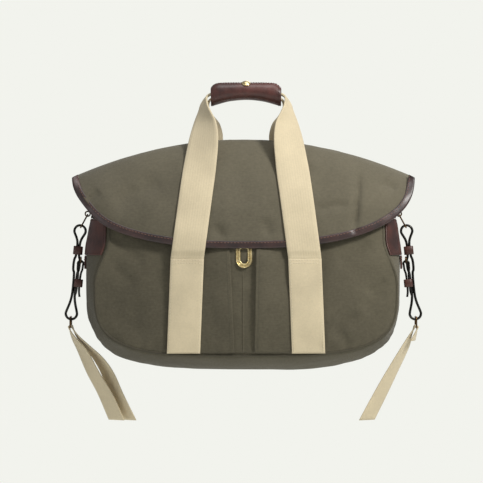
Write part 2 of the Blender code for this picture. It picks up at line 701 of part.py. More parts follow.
def mirrored(side, point):
    """A point given for the right side, put on the side asked for."""
    return Vector((side * point[0] + LEAN, point[1], point[2]))


def side_station(z, t):
    """The place along the left side of the outline where the gusset passes a height, found by halving."""
    low, high = 0.0, 0.3
    for _ in range(30):
        middle = (low + high) / 2
        if gusset_point(middle, t).z > z:
            low = middle
        else:
            high = middle
    return low


def make_side_leather(hand, side):
    """A leather patch across the gusset, with a tab above it for the ring and a tab below it for the short hook."""
    out = CANVAS / 2 + 3 * GAP + LEATHER / 2
    for name, heights, reach in (
            ("ring_tab", (-0.180, -0.1857, -0.1914), 0.12),
            ("side_patch", (-0.192, -0.205, -0.219, -0.230, -0.239, -0.247), 0.90),
            ("hook_tab", (-0.2476, -0.258, -0.268), 0.20)):
        rows = []
        for z in heights:
            row = []
            for t in steps(-reach, reach, 9):
                s = side_station(z, t)
                point = gusset_point(1 - s if side > 0 else s, t)
                row.append(Vector((point.x + side * out, point.y, z)))
            rows.append(row)
        sheet(f"{name}_{hand}", rows, LEATHER, "side_leather", direction=Vector((1, 0, 0)))


def ring_path(centre, across, up, radius, count=14):
    turns = [2 * pi * k / count for k in range(count)]
    return [centre + (across * cos(t) + up * sin(t)) * radius for t in turns]


def bar_link_path(top, bottom, half_width):
    """A long link whose two end bars lie along Y, through top and bottom."""
    down = (bottom - top).normalized()
    corner = min(0.45 * half_width, 0.22 * (bottom - top).length)
    y = Vector((0, 1, 0))
    bar = [t * (half_width - corner) for t in (-1, 0, 1)]
    path = [top + y * t for t in bar]
    path += [top + y * half_width + down * corner, bottom + y * half_width - down * corner]
    path += [bottom - y * t for t in bar]
    path += [bottom - y * half_width - down * corner, top - y * half_width + down * corner]
    return path


def hook_frame(top, side):
    """A function that places a hanging hook's points: a distance down from its top, and one to its side."""
    down = Vector((side * sin(HOOK_LEAN), 0, -cos(HOOK_LEAN)))
    out = Vector((cos(HOOK_LEAN), 0, side * sin(HOOK_LEAN)))
    return lambda along, aside: top + down * along + out * aside


def eye(radius):
    """One side of a hook's round end, from its tip: (along, aside) points."""
    return [(radius * (1 - cos(t)), radius * sin(t)) for t in steps(radians(22), radians(112), 5)]


def make_strap_hook(hand, side, pivots):
    """The long hook: a teardrop eye, a keeper on its neck, a double shank and a lower teardrop."""
    place = hook_frame(mirrored(side, (HOOK_TOP_X, HOOK_Y, HOOK_TOP_Z)), side)
    low_eye = [(HOOK_LENGTH - along, aside) for along, aside in reversed(eye(HOOK_LOW_EYE))]
    half = [*eye(HOOK_EYE), *HOOK_SHANK, *low_eye]
    path = [place(0, 0), *(place(a, b) for a, b in half), place(HOOK_LENGTH, 0)]
    path += [place(a, -b) for a, b in reversed(half)]
    tube(f"strap_hook_{hand}", path, HOOK_WIRE, "black_wire", closed=True, on=pivots["hook"])
    make_keeper(f"hook_keeper_{hand}", place, KEEPER_ALONG, 0.0130, HOOK_SHANK[0][1], HOOK_WIRE, pivots["keeper"])


def tab_hook_top(side):
    top_z = TAB_RING_Z - TAB_RING_RADIUS + SMALL_WIRE + TAB_HOOK_WIRE + GAP
    return mirrored(side, (TAB_RING_X + GAP, TAB_HOOK_Y, top_z))


def make_tab_hook(hand, side, pivots):
    """The short hook on the tab: a small eye, a keeper and two tails."""
    place = hook_frame(tab_hook_top(side), side)
    half = [*eye(TAB_HOOK_EYE), *TAB_HOOK_SHANK]
    path = [place(a, -b) for a, b in reversed(half)] + [place(0, 0)] + [place(a, b) for a, b in half]
    tube(f"tab_hook_{hand}", path, TAB_HOOK_WIRE, "black_wire", on=pivots["tab_hook"])
    make_keeper(f"tab_hook_keeper_{hand}", place, TAB_KEEPER_ALONG, 0.0120, TAB_HOOK_SHANK[1][1], TAB_HOOK_WIRE,
                pivots["tab_keeper"])


def make_keeper(name, place, along, length, leg, wire, on):
    """A leather sleeve round the two legs of a hook."""
    room, wall, count = 0.0010, 0.0020, 16
    half_width, half_thickness = leg + wire + room, wire + room
    rings = []
    for grow, end in ((wall, -0.5), (wall, 0.5), (0, 0.5), (0, -0.5)):
        ring = []
        for k in range(count):
            turn = 2 * pi * (k + 0.5) / count
            aside = (half_width + grow) * copysign(abs(cos(turn)) ** 0.6, cos(turn))
            depth = (half_thickness + grow) * copysign(abs(sin(turn)) ** 0.6, sin(turn))
            ring.append(place(along + end * length, aside) + Vector((0, depth, 0)))
        rings.append(ring)
    ring_stack(name, rings, "side_leather", on)


def make_side_rings(hand, side, pivots):
    across, back, up = Vector((1, 0, 0)), Vector((0, 1, 0)), Vector((0, 0, 1))
    ring = ring_path(mirrored(side, (RING_X, HOOK_Y, RING_Z)), across, up, RING_RADIUS)
    tube(f"side_ring_{hand}", ring, SMALL_WIRE, "bronze", closed=True)
    ring = ring_path(mirrored(side, (TAB_RING_X, TAB_HOOK_Y, TAB_RING_Z)), back, up, TAB_RING_RADIUS)
    tube(f"tab_ring_{hand}", ring, SMALL_WIRE, "bronze", closed=True)
    top = pivots["link"].location + up * (2 * SMALL_WIRE + GAP)
    link = bar_link_path(top, pivots["hook"].location, 0.0050)
    tube(f"side_link_{hand}", link, SMALL_WIRE, "bronze", closed=True, on=pivots["link"])


def make_strap_ring(hand, pivots):
    """An oblong ring through the hook's lower teardrop: its long bars lie along Y."""
    top = pivots["strap"].location + Vector((0, 0, HOOK_WIRE + STRAP_RING_WIRE + GAP))
    bottom = pivots["strap"].location - Vector((0, 0, STRAP_RING_DROP))
    link = bar_link_path(top, bottom, STRAP_RING_HALF_WIDTH)
    tube(f"strap_ring_{hand}", link, STRAP_RING_WIRE, "bronze", closed=True, on=pivots["strap"])


def make_shoulder_strap(hand, side, pivots):
    """The strap goes over the ring's lower bar: on the left both runs are long, on the right one is a short end."""
    bar = pivots["strap"].location - Vector((LEAN, 0, STRAP_RING_DROP))
    radius = STRAP_RING_WIRE + GAP + SHOULDER_CLOTH / 2
    bend = [(side * bar.x + radius * cos(t), bar.z + radius * sin(t), 0) for t in
            steps(radians(-10), radians(190), 7)]
    outer, inner = SHOULDER_RUNS[hand]
    rows = []
    for x, z, turn in (*outer, *bend, *inner):
        across = Vector((side * sin(radians(turn)), cos(radians(turn)), 0)) * SHOULDER_WIDTH / 2
        middle = mirrored(side, (x, HOOK_Y, z))
        rows.append([middle - across, middle, middle + across])
    sheet(f"shoulder_strap_{hand}", rows, SHOULDER_CLOTH, "webbing", on=pivots["strap"])


def side_pivots(hand, side):
    """Empties on the axes of one side's moving pieces."""
    link_low = mirrored(side, (HOOK_TOP_X, HOOK_Y, HOOK_TOP_Z - HOOK_WIRE - SMALL_WIRE - GAP))
    tab_low = mirrored(side, (TAB_RING_X, TAB_HOOK_Y, TAB_RING_Z - TAB_RING_RADIUS))
    place = hook_frame(mirrored(side, (HOOK_TOP_X, HOOK_Y, HOOK_TOP_Z)), side)
    short_place = hook_frame(tab_hook_top(side), side)
    return {
        "link": pivot(f"link_pivot_{hand}", mirrored(side, (RING_X, HOOK_Y, RING_Z - RING_RADIUS))),
        "hook": pivot(f"hook_pivot_{hand}", link_low),
        "keeper": pivot(f"keeper_slide_{hand}", place(KEEPER_ALONG, 0)),
        "tab_hook": pivot(f"tab_hook_pivot_{hand}", tab_low),
        "tab_keeper": pivot(f"tab_keeper_slide_{hand}", short_place(TAB_KEEPER_ALONG, 0)),
        "strap": pivot(f"strap_pivot_{hand}", place(HOOK_LENGTH, 0)),
    }


def main():
    clear_scene()
    hinge_y = half_depth(0, STITCH_Z) + SEWN_OFFSET
    front_handle = pivot("front_handle_pivot", (0, -hinge_y, STITCH_Z))
    back_handle = pivot("back_handle_pivot", (0, hinge_y, STITCH_Z))
    flap = pivot("flap_pivot", (LEAN, HINGE_Y, HINGE_Z))
    cover = pivot("grip_cover_pivot", COVER_HINGE)
    frame = lock_frame()
    loop = pivot("lock_loop_pivot", frame @ Vector((0, (LOOP_TOP_Z - LOCK_Z) / frame.col[1].z, LOOP_LIFT)))
    make_panels()
    make_gusset()
    make_piping()
    make_lining()
    make_inner_pocket()
    make_front_pocket()
    make_sewn_straps()
    make_flap(flap)
    make_binding(flap)
    make_flap_stud(flap)
    make_free_strap("front_webbing", -1, front_handle)
    make_free_strap("back_webbing", 1, back_handle)
    make_grip(front_handle, cover)
    make_lock_plate()
    make_lock_loop(loop)
    make_loop_clip(loop)
    for hand, side in (("left", -1), ("right", 1)):
        pivots = side_pivots(hand, side)
        make_side_leather(hand, side)
        make_side_rings(hand, side, pivots)
        make_strap_hook(hand, side, pivots)
        make_tab_hook(hand, side, pivots)
        make_strap_ring(hand, pivots)
        make_shoulder_strap(hand, side, pivots)


main()
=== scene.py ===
"""The looks of the canvas satchel bag: cloth, webbing, leather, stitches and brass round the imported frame.

Metres, in the frame of the CAD part: +Z up, the front faces -Y, the origin is the middle of the hand grip.
"""
from math import acos, copysign, cos, exp, pi, radians, sin, sqrt

import bpy
from mathutils import Matrix, Vector, noise


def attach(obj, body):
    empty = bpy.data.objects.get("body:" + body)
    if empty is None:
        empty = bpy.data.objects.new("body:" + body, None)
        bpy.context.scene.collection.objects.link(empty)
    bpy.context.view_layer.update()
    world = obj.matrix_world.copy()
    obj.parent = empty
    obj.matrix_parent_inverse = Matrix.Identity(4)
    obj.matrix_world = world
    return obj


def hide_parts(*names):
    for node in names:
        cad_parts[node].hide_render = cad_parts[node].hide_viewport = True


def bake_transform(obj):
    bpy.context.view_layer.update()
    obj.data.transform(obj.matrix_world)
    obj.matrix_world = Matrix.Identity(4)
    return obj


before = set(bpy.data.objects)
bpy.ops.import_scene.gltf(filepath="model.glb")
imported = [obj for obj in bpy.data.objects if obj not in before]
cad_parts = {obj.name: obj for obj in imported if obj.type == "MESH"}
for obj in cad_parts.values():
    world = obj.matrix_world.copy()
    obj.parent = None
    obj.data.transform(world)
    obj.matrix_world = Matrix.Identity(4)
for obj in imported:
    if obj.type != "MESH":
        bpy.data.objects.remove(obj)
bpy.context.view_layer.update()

# The two hands, and the direction the front faces
SIDES = (("left", -1), ("right", 1))
FRONT = Vector((0, -1, 0))

# Driving dimensions of the soft body
SIDE_SHARE = 0.17                # the share of an outline that each of its sides takes up
LEAN = -0.004                    # the waist and the flap hang this far to one side of the grip
MOUTH_Z = -0.150                 # top edges of the panels and the gusset
SEAM_BOTTOM_Z = -0.397           # lowest point of the front and back seams
BASE_Z = -0.4188                 # lowest point of the gusset's middle
SEAM_HALF_WIDTH = 0.2265
SEAM_TOP_HALF_WIDTH = 0.2055
SEAM_CORNER_Z = -0.290           # below this height the seam turns round the corners
SEAM_LEAN_HEIGHT = 0.068         # height above the corners over which the seam leans in to its top width
SEAM_POWER = 3.8
WAIST_HALF_WIDTH = 0.2365        # the gusset's middle, which stands proud of both seams
WAIST_TOP_HALF_WIDTH = 0.214
WAIST_CORNER_Z = -0.275
WAIST_POWER = 3.7
MOUTH_HALF_DEPTH = 0.046
LOW_HALF_DEPTH = 0.066
DEPTH_GROWTH = 0.110             # height over which the body reaches its full depth
CROWN = 0.012                    # how far the panels bulge
SEWN_OFFSET = 0.0056             # from a panel's middle surface to the middle of the strap sewn on it

# Sheet thicknesses, and the gap left between neighbours
CANVAS = 0.0024
POCKET_CLOTH = 0.0020
WEBBING = 0.0022
LEATHER = 0.0024
LINING = 0.0015
GAP = 0.0003
POCKET_GAP = 0.0006
PIPING_RADIUS = 0.0022

# Flap
FLAP_CLOTH = 0.0020
FLAP_HALF_WIDTH = 0.258
RIDGE_Z = -0.073
RIDGE_Y = -0.005
EAR_Z = -0.130
FLAP_EDGE_Z = -0.237
FLAP_EDGE_Y = -0.086
EAR_Y = -0.035
FLAP_EDGE_POWER = 2.4
FLAP_DOME_POWER = 1.6
LEFT_EAR_CUT = 0.006             # the edge below the left ear runs straighter than below the right one
HINGE_Y = 0.0465
HINGE_Z = -0.147
HINGE_HALF_WIDTH = 0.200
BINDING_WIDTH = 0.0115
BINDING = 0.0034

# Handles
STRAP_WIDTH = 0.050
STRAP_SHARES = (-1, -0.96, -0.75, -0.5, -0.25, 0, 0.25, 0.5, 0.75, 0.96, 1)   # points across a strap
STITCH_Z = -0.2518               # the handles are sewn down below this height
FOLDED_WIDTH = 0.021             # the webbing is folded double inside the grip
FOLDED = 0.0034
GRIP_HALF_LENGTH = 0.053
GRIP_HALF_DEPTH = 0.017
GRIP_TOP_Z = 0.0145
GRIP_BOTTOM_Z = -0.0121
GRIP_END_DROP = 0.0105           # the ends of the grip's underside hang this much lower
TUCK = 0.0018                    # room between the cover and the tongue below it

# The free webbing above the flap: distance from x = 0, distance from y = 0, height, turn from facing
# forward in degrees, width and thickness
FRONT_RISE = (
    (0.0690, 0.0500, -0.110, 12, 0.0500, WEBBING), (0.0640, 0.0345, -0.073, 26, 0.0490, WEBBING),
    (0.0618, 0.0225, -0.047, 40, 0.0440, 0.0024), (0.0625, 0.0145, -0.030, 54, 0.0320, 0.0026),
    (0.0630, 0.0065, -0.0185, 66, 0.0240, 0.0028), (0.0590, 0.0010, -0.0070, 90, FOLDED_WIDTH, FOLDED),
    (0.0470, 0, -0.0012, 90, FOLDED_WIDTH, FOLDED), (0.0330, 0, 0.0015, 90, FOLDED_WIDTH, FOLDED),
    (0.0, 0, 0.0034, 90, FOLDED_WIDTH, FOLDED))
BACK_RISE = (
    (0.0650, 0.0415, -0.098, 12, 0.0500, WEBBING), (0.0560, 0.0300, -0.070, 32, 0.0490, WEBBING),
    (0.0525, 0.0205, -0.049, 54, 0.0440, 0.0024), (0.0545, 0.0150, -0.036, 72, 0.0300, 0.0026),
    (0.0572, 0.0060, -0.0240, 88, 0.0190, 0.0030), (0.0553, 0.0005, -0.0130, 90, 0.0180, FOLDED),
    (0.0460, 0, -0.0088, 90, 0.0190, FOLDED), (0.0340, 0, -0.0060, 90, 0.0190, FOLDED),
    (0.0, 0, -0.0030, 90, 0.0190, FOLDED))

# Front lock
LOCK_X = -0.003
LOCK_Z = -0.2421
LOCK_HALF_WIDTH = 0.0121
LOCK_HALF_LENGTH = 0.0246
LOCK_BAND = 0.0038
LOOP_HALF_WIDTH = 0.00665
LOOP_WIRE = 0.00135
LOOP_TOP_Z = -0.2365
STUD_Z = -0.2287
LOOP_LIFT = 0.0019               # height of the loop's wire above the plate's back

# Side hardware, as distances from the body's middle plane
HOOK_Y = 0.004
TAB_HOOK_Y = -0.012
RING_X, RING_Z = 0.2359, -0.1845
RING_RADIUS = 0.0037
SMALL_WIRE = 0.0011
LINK_WIRE = 0.0010
HOOK_TOP_X, HOOK_TOP_Z = 0.2466, -0.2020
HOOK_WIRE = 0.0019
HOOK_LENGTH = 0.1430
HOOK_EYE = 0.0085                # centre-line radius of the upper teardrop
HOOK_LOW_EYE = 0.0085
HOOK_SHANK = ((0.0250, 0.0023), (0.0450, 0.0023), (0.0520, 0.0041), (0.0600, 0.0046), (0.0680, 0.0041),
              (0.0755, 0.0023), (0.1090, 0.0023))
KEEPER_ALONG = 0.0382
HOOK_LEAN = radians(6.0)
TAB_RING_X, TAB_RING_Z = 0.2455, -0.2545
TAB_RING_RADIUS = 0.0043
TAB_HOOK_WIRE = 0.0016
TAB_HOOK_EYE = 0.0042
TAB_HOOK_SHANK = ((0.0130, 0.0036), (0.0215, 0.0019), (0.0445, 0.0019), (0.0545, 0.0038))
TAB_KEEPER_ALONG = 0.0338
STRAP_RING_WIRE = 0.00125
STRAP_RING_HALF_WIDTH = 0.0235
SHOULDER_WIDTH = 0.0375
SHOULDER_CLOTH = 0.0020
STRAP_RING_DROP = 0.0120         # from the hook's foot down to the ring's lower bar
# Each strap's outer run and inner run: distance from the middle plane, height, and turn in degrees
SHOULDER_RUNS = {
    "left": (((0.1922, -0.4970, 40), (0.2095, -0.4575, 38), (0.2275, -0.4257, 33), (0.2440, -0.3920, 25),
              (0.2540, -0.3770, 15), (0.2605, -0.3660, 6)),
             ((0.2520, -0.3690, 7), (0.2385, -0.3840, 17), (0.2205, -0.4030, 27), (0.2060, -0.4257, 33),
              (0.1930, -0.4575, 38), (0.1745, -0.4970, 42))),
    "right": (((0.2570, -0.3770, 11), (0.2610, -0.3660, 6)),
              ((0.2530, -0.3690, 8), (0.2445, -0.3880, 20), (0.2242, -0.4257, 30), (0.2076, -0.4575, 36),
               (0.1871, -0.4970, 40))),
}


def clamp(value, low=0.0, high=1.0):
    return max(low, min(high, value))


def mix(a, b, t):
    return a + (b - a) * t


def smooth(t):
    t = clamp(t)
    return t * t * (3 - 2 * t)


def steps(first, last, count):
    """Evenly spaced values from first to last, both included."""
    return [mix(first, last, i / (count - 1)) for i in range(count)]


def turns(count):
    """Evenly spaced angles round a circle."""
    return [2 * pi * k / count for k in range(count)]


def fine(first, last, count):
    """Values from first to last, closer together near both ends."""
    return [mix(first, last, 0.5 - 0.5 * cos(pi * k / (count - 1))) for k in range(count)]


def signed_power(value, power):
    return copysign(abs(value) ** power, value)


def side_half_width(z, widest, top, corner_z):
    """Half the width of an outline at a height: it leans in from its corners up to the mouth."""
    rise = clamp((z - corner_z) / (MOUTH_Z - corner_z))
    return widest - (widest - top) * rise ** 2


def seam_half_width(z, widest, top, corner_z):
    """The same for the seams, which lean in just above the corners and then rise straight to the mouth."""
    return widest - (widest - top) * smooth(clamp((z - corner_z) / SEAM_LEAN_HEIGHT))


def outline(s, widest, top, corner_z, bottom_z, power, side=side_half_width):
    """A point (x, z) on an outline that is open at the top.

    s is 0 at the top left and 1 at the top right, and goes round the bottom between them.
    """
    if s < SIDE_SHARE or s > 1 - SIDE_SHARE:
        z = mix(MOUTH_Z, corner_z, min(s, 1 - s) / SIDE_SHARE)
        return copysign(side(z, widest, top, corner_z), s - 0.5), z
    turn = pi * (s - SIDE_SHARE) / (1 - 2 * SIDE_SHARE)
    x = -widest * signed_power(cos(turn), 2 / power)
    return x, corner_z - (corner_z - bottom_z) * abs(sin(turn)) ** (2 / power)


def seam_point(s):
    return outline(s, SEAM_HALF_WIDTH, SEAM_TOP_HALF_WIDTH, SEAM_CORNER_Z, SEAM_BOTTOM_Z, SEAM_POWER,
                   seam_half_width)


def waist_point(s):
    x, z = outline(s, WAIST_HALF_WIDTH, WAIST_TOP_HALF_WIDTH, WAIST_CORNER_Z, BASE_Z, WAIST_POWER)
    return x + LEAN, z


def outline_stations(end, side_count):
    """Places along an outline from one end to the other, most of them round the bottom."""
    return [*steps(end, SIDE_SHARE, side_count), *steps(SIDE_SHARE, 1 - SIDE_SHARE, 120)[1:],
            *steps(1 - SIDE_SHARE, 1 - end, side_count)[1:]]


def half_depth(x, z):
    """Distance of a panel's middle surface from the plane y = 0."""
    seam = mix(MOUTH_HALF_DEPTH, LOW_HALF_DEPTH, smooth((MOUTH_Z - z) / DEPTH_GROWTH))
    middle = (MOUTH_Z + SEAM_BOTTOM_Z) / 2
    across = 1 - min(abs(x) / SEAM_HALF_WIDTH, 1) ** 2.5
    down = 1 - min(abs(z - middle) / (MOUTH_Z - middle), 1) ** 2.5
    return seam + CROWN * across * down


def gusset_point(s, t):
    """A point on the gusset: s along the outline, t from -1 at the back seam to 1 at the front seam."""
    (waist_x, waist_z), (seam_x, seam_z) = waist_point(s), seam_point(s)
    return Vector((mix(waist_x, seam_x, t * t), -t * half_depth(seam_x, seam_z),
                   mix(waist_z, seam_z, t * t)))


def ridge_z(x):
    return RIDGE_Z - (RIDGE_Z - EAR_Z) * min(abs(x) / FLAP_HALF_WIDTH, 1) ** 2


def flap_edge(turn):
    """A point (x, y, z) on the flap's lower edge: turn is 0 at the right ear and pi at the left one."""
    across, down = cos(turn), max(sin(turn), 0)
    x = FLAP_HALF_WIDTH * signed_power(across, 2 / FLAP_EDGE_POWER)
    if across < 0:
        x += LEFT_EAR_CUT * sin(pi * min(down / 0.75, 1)) ** 2
    z = EAR_Z - (EAR_Z - FLAP_EDGE_Z) * down ** (2 / FLAP_EDGE_POWER)
    return x, mix(EAR_Y, FLAP_EDGE_Y, down ** 0.82), z


def dome(fall):
    """How far the flap has come forward, as a share, when it has fallen this share of its height."""
    return (1 - (1 - clamp(fall)) ** FLAP_DOME_POWER) ** (1 / FLAP_DOME_POWER)


def flap_front_y(x, z):
    """The flap's middle surface in front of the ridge; x is measured from the flap's middle."""
    turn = acos(clamp(abs(x) / FLAP_HALF_WIDTH) ** (FLAP_EDGE_POWER / 2))
    _, edge_y, edge_z = flap_edge(turn)
    top = ridge_z(x)
    return mix(RIDGE_Y, edge_y, dome((top - z) / max(top - edge_z, 1e-6)))


def flap_back_y(x, z):
    top = ridge_z(x)
    return mix(RIDGE_Y, HINGE_Y, dome((top - z) / (top - HINGE_Z)))


def strap_x(side, z, front):
    """The middle of a handle strap at a height: side is -1 for the left one."""
    bottom, stitch, shoulder, ridge = 0.0939, 0.0880, 0.0745, 0.0635
    if not front:
        ridge = 0.0560
    levels = [(SEAM_BOTTOM_Z, bottom), (STITCH_Z, stitch), (-0.150, shoulder), (RIDGE_Z, ridge)]
    for (low, x_low), (high, x_high) in zip(levels, levels[1:]):
        if z <= high:
            return side * mix(x_low, x_high, clamp((z - low) / (high - low)))
    return side * ridge


def high_strap_rows(side, facing):
    """The strap turns edge on as it rises, with its inner edge outermost, and bends into the grip."""
    rows, thickness = [], []
    for x, reach, z, turn, width, cloth in FRONT_RISE if facing < 0 else BACK_RISE:
        across = Vector((cos(radians(turn)), facing * side * -sin(radians(turn)), 0)) * width / 2
        middle = Vector((side * x, facing * reach, z))
        rows.append([middle - across, middle, middle + across])
        thickness.append(cloth)
    return rows, thickness


def grip_section(x, turn, inset):
    """A point of the grip's cross-section: turn is measured from the top towards the front."""
    share = (abs(x) / GRIP_HALF_LENGTH) ** 2
    top = GRIP_TOP_Z - 0.0015 * share ** 2
    bottom = GRIP_BOTTOM_Z - GRIP_END_DROP * share
    middle, half_height = (top + bottom) / 2, (top - bottom) / 2
    return Vector((x, -(GRIP_HALF_DEPTH - inset) * sin(turn), middle + (half_height - inset) * cos(turn)))


def lock_frame():
    """The lock plate's place on the pleat: local X across, Y up the sloping panel, Z outward."""
    low, high = LOCK_Z - 0.02, LOCK_Z + 0.02
    up = Vector((0, half_depth(0, low) - half_depth(0, high), high - low)).normalized()
    across = Vector((1, 0, 0))
    cloth = CANVAS / 2 + POCKET_GAP + POCKET_CLOTH
    middle = Vector((LOCK_X, -half_depth(0, LOCK_Z) - cloth - 2 * GAP, LOCK_Z))
    return Matrix.Translation(middle) @ Matrix((across, up, across.cross(up))).transposed().to_4x4()


def mirrored(side, point):
    """A point given for the right side, put on the side asked for."""
    return Vector((side * point[0] + LEAN, point[1], point[2]))


def halving(first, last, rounds, go_on):
    """The last place between first and last where go_on is still true."""
    low, high = first, last
    for _ in range(rounds):
        middle = (low + high) / 2
        if go_on(middle):
            low = middle
        else:
            high = middle
    return low


def side_station(z, t):
    """The place along the left side of the outline where the gusset passes a height."""
    return halving(0.0, 0.3, 30, lambda s: gusset_point(s, t).z > z)


def flap_edge_z(x):
    """The height of the flap's lower edge at a distance from its middle."""
    return flap_edge(halving(0.0, pi, 18, lambda turn: flap_edge(turn)[0] > x))[2]


def bar_link_path(top, bottom, half_width):
    """A long link whose two end bars lie along Y, through top and bottom."""
    down = (bottom - top).normalized()
    corner = min(0.45 * half_width, 0.22 * (bottom - top).length)
    y = Vector((0, 1, 0))
    bar = [t * (half_width - corner) for t in (-1, 0, 1)]
    path = [top + y * t for t in bar]
    path += [top + y * half_width + down * corner, bottom + y * half_width - down * corner]
    path += [bottom - y * t for t in bar]
    path += [bottom - y * half_width - down * corner, top - y * half_width + down * corner]
    return path


def hook_frame(top, side):
    """A function that places a hanging hook's points: a distance down from its top, and one to its side."""
    down = Vector((side * sin(HOOK_LEAN), 0, -cos(HOOK_LEAN)))
    out = Vector((cos(HOOK_LEAN), 0, side * sin(HOOK_LEAN)))
    return lambda along, aside: top + down * along + out * aside


def eye(radius):
    """One side of a hook's round end, from its tip: (along, aside) points."""
    return [(radius * (1 - cos(t)), radius * sin(t)) for t in steps(radians(22), radians(112), 5)]


# ---------------------------------------------------------------- mesh building

def add_piece(name, points, faces, look, body, uvs=None):
    """Makes a mesh piece that rides on a body, and stands for the CAD node that has its name. A piece given
    a bend in place of a body rides on no body, and the bend's ends are not used.

    look is a material and the record's slot for it, and the slot is not used; uvs are in metres, one for
    each point.
    """
    finish, slot = look
    mesh = bpy.data.meshes.new(name)
    mesh.from_pydata(points, [], faces)
    if uvs:
        layer = mesh.uv_layers.new(name="cloth")
        for loop in mesh.loops:
            layer.data[loop.index].uv = uvs[loop.vertex_index]
    mesh.materials.append(finish)
    mesh.shade_smooth()
    obj = bpy.data.objects.new(name, mesh)
    bpy.context.collection.objects.link(obj)
    if isinstance(body, dict):
        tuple(body["start"])
        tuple(body["end"])
        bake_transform(obj)
    else:
        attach(obj, body)
    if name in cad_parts:
        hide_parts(name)
    return mesh


def add_solid(name, points, faces, look, body, uvs=None):
    """Adds a closed piece, and turns its faces over if they point inwards."""
    mesh = add_piece(name, points, faces, look, body, uvs)
    volume = 0.0
    for face in mesh.polygons:
        corners = [mesh.vertices[v].co for v in face.vertices]
        volume += sum(corners[0].dot(corners[k].cross(corners[k + 1])) for k in range(1, len(corners) - 1))
    if volume < 0:
        mesh.flip_normals()


def add_tube(name, rings, look, body, uvs=None, closed=False):
    """Joins rings of points in turn; unless the tube is closed on itself, its end rings are filled in."""
    count, stations = len(rings[0]), len(rings)
    faces = [(i * count + k, i * count + (k + 1) % count, (i + 1) % stations * count + (k + 1) % count,
              (i + 1) % stations * count + k)
             for i in range(stations if closed else stations - 1) for k in range(count)]
    if not closed:
        faces += [tuple(range(count)), tuple((stations - 1) * count + k for k in range(count))]
    add_solid(name, [point for ring in rings for point in ring], faces, look, body, uvs)


def grid_normals(rows):
    last_row, last_column = len(rows) - 1, len(rows[0]) - 1
    normals = []
    for i, row in enumerate(rows):
        line = []
        for j in range(len(row)):
            down = rows[min(i + 1, last_row)][j] - rows[max(i - 1, 0)][j]
            across = row[min(j + 1, last_column)] - row[max(j - 1, 0)]
            normal = down.cross(across)
            line.append(normal.normalized() if normal.length > 1e-12 else Vector((0, -1, 0)))
        normals.append(line)
    return normals


def lengths_along(points):
    total, out = 0.0, [0.0]
    for a, b in zip(points, points[1:]):
        total += (b - a).length
        out.append(total)
    return out


def cloth(name, rows, thickness, look, body, direction=None, edge=0.35, end=None):
    """A closed sheet round a grid of middle points, thinner at its edges so that they look rounded."""
    height, width = len(rows), len(rows[0])
    depth = thickness if isinstance(thickness, list) else [thickness] * height
    normals = [[direction] * width] * height if direction else grid_normals(rows)
    along = lengths_along([row[width // 2] for row in rows])
    across = lengths_along(rows[height // 2])
    points, uvs = [], []
    for sign in (1, -1):
        for i in range(height):
            for j in range(width):
                half = depth[i] / 2
                if j in (0, width - 1):
                    half *= edge
                elif i in (0, height - 1):
                    half *= edge if end is None else end
                points.append(rows[i][j] + normals[i][j] * sign * half)
                uvs.append((across[j], along[i]))
    back = height * width
    faces = []
    for i in range(height - 1):
        for j in range(width - 1):
            a, b = i * width + j, (i + 1) * width + j
            faces += [(a, b, b + 1, a + 1), (back + a, back + a + 1, back + b + 1, back + b)]
    rim = list(range(width)) + [i * width + width - 1 for i in range(1, height)]
    rim += [(height - 1) * width + j for j in range(width - 2, -1, -1)]
    rim += [i * width for i in range(height - 2, 0, -1)]
    faces += [(a, b, back + b, back + a) for a, b in zip(rim, rim[1:] + rim[:1])]
    add_solid(name, points, faces, look, body, uvs)


def smooth_path(points, per_span, closed=False):
    """A Catmull-Rom curve through points."""
    count = len(points)
    out = []
    for i in range(count if closed else count - 1):
        places = [i + k for k in (-1, 0, 1, 2)]
        p0, p1, p2, p3 = (points[k % count if closed else max(0, min(count - 1, k))] for k in places)
        for step in range(per_span):
            t = step / per_span
            out.append(0.5 * ((2 * p1) + (p2 - p0) * t + (2 * p0 - 5 * p1 + 4 * p2 - p3) * t * t
                              + (3 * p1 - p0 - 3 * p2 + p3) * t ** 3))
    if not closed:
        out.append(points[-1])
    return out


def smooth_rows(rows, per_span):
    """Rows of points, smoothed down each column."""
    columns = [smooth_path([row[j] for row in rows], per_span) for j in range(len(rows[0]))]
    return [list(row) for row in zip(*columns)]


def widen(rows):
    """Rows of three points (edge, middle, edge), with more points across."""
    return [[middle.lerp(left, -t) if t < 0 else middle.lerp(right, t) for t in STRAP_SHARES]
            for left, middle, right in rows]


def wire(name, path, radius, look, body, sides=14, closed=False):
    """A round wire along a path, with flat ends; radius is a number or one for each point."""
    count = len(path)
    sizes = radius if isinstance(radius, list) else [radius] * count
    rings, uvs, across = [], [], None
    for i, (here, size, travel) in enumerate(zip(path, sizes, lengths_along(path))):
        before = path[(i - 1) % count] if closed or i else here
        after = path[(i + 1) % count] if closed or i < count - 1 else here
        along = (after - before).normalized()
        if across is None:
            across = along.orthogonal()
        across = (across - along * across.dot(along)).normalized()
        other = along.cross(across)
        rings.append([here + (across * cos(t) + other * sin(t)) * size for t in turns(sides)])
        uvs += [(travel, size * t) for t in turns(sides)]
    add_tube(name, rings, look, body, uvs, closed)


def band(name, path, acrosses, outs, half_width, half_thickness, look, body, closed=False):
    """A strip with a flat oval section swept along a path."""
    section = [(half_width * signed_power(cos(t), 0.45), half_thickness * signed_power(sin(t), 0.75))
               for t in turns(18)]
    rings, uvs = [], []
    for here, across, out, travel in zip(path, acrosses, outs, lengths_along(path)):
        rings.append([here + across * a + out * b for a, b in section])
        uvs += [(travel, a) for a, _ in section]
    add_tube(name, rings, look, body, uvs, closed)


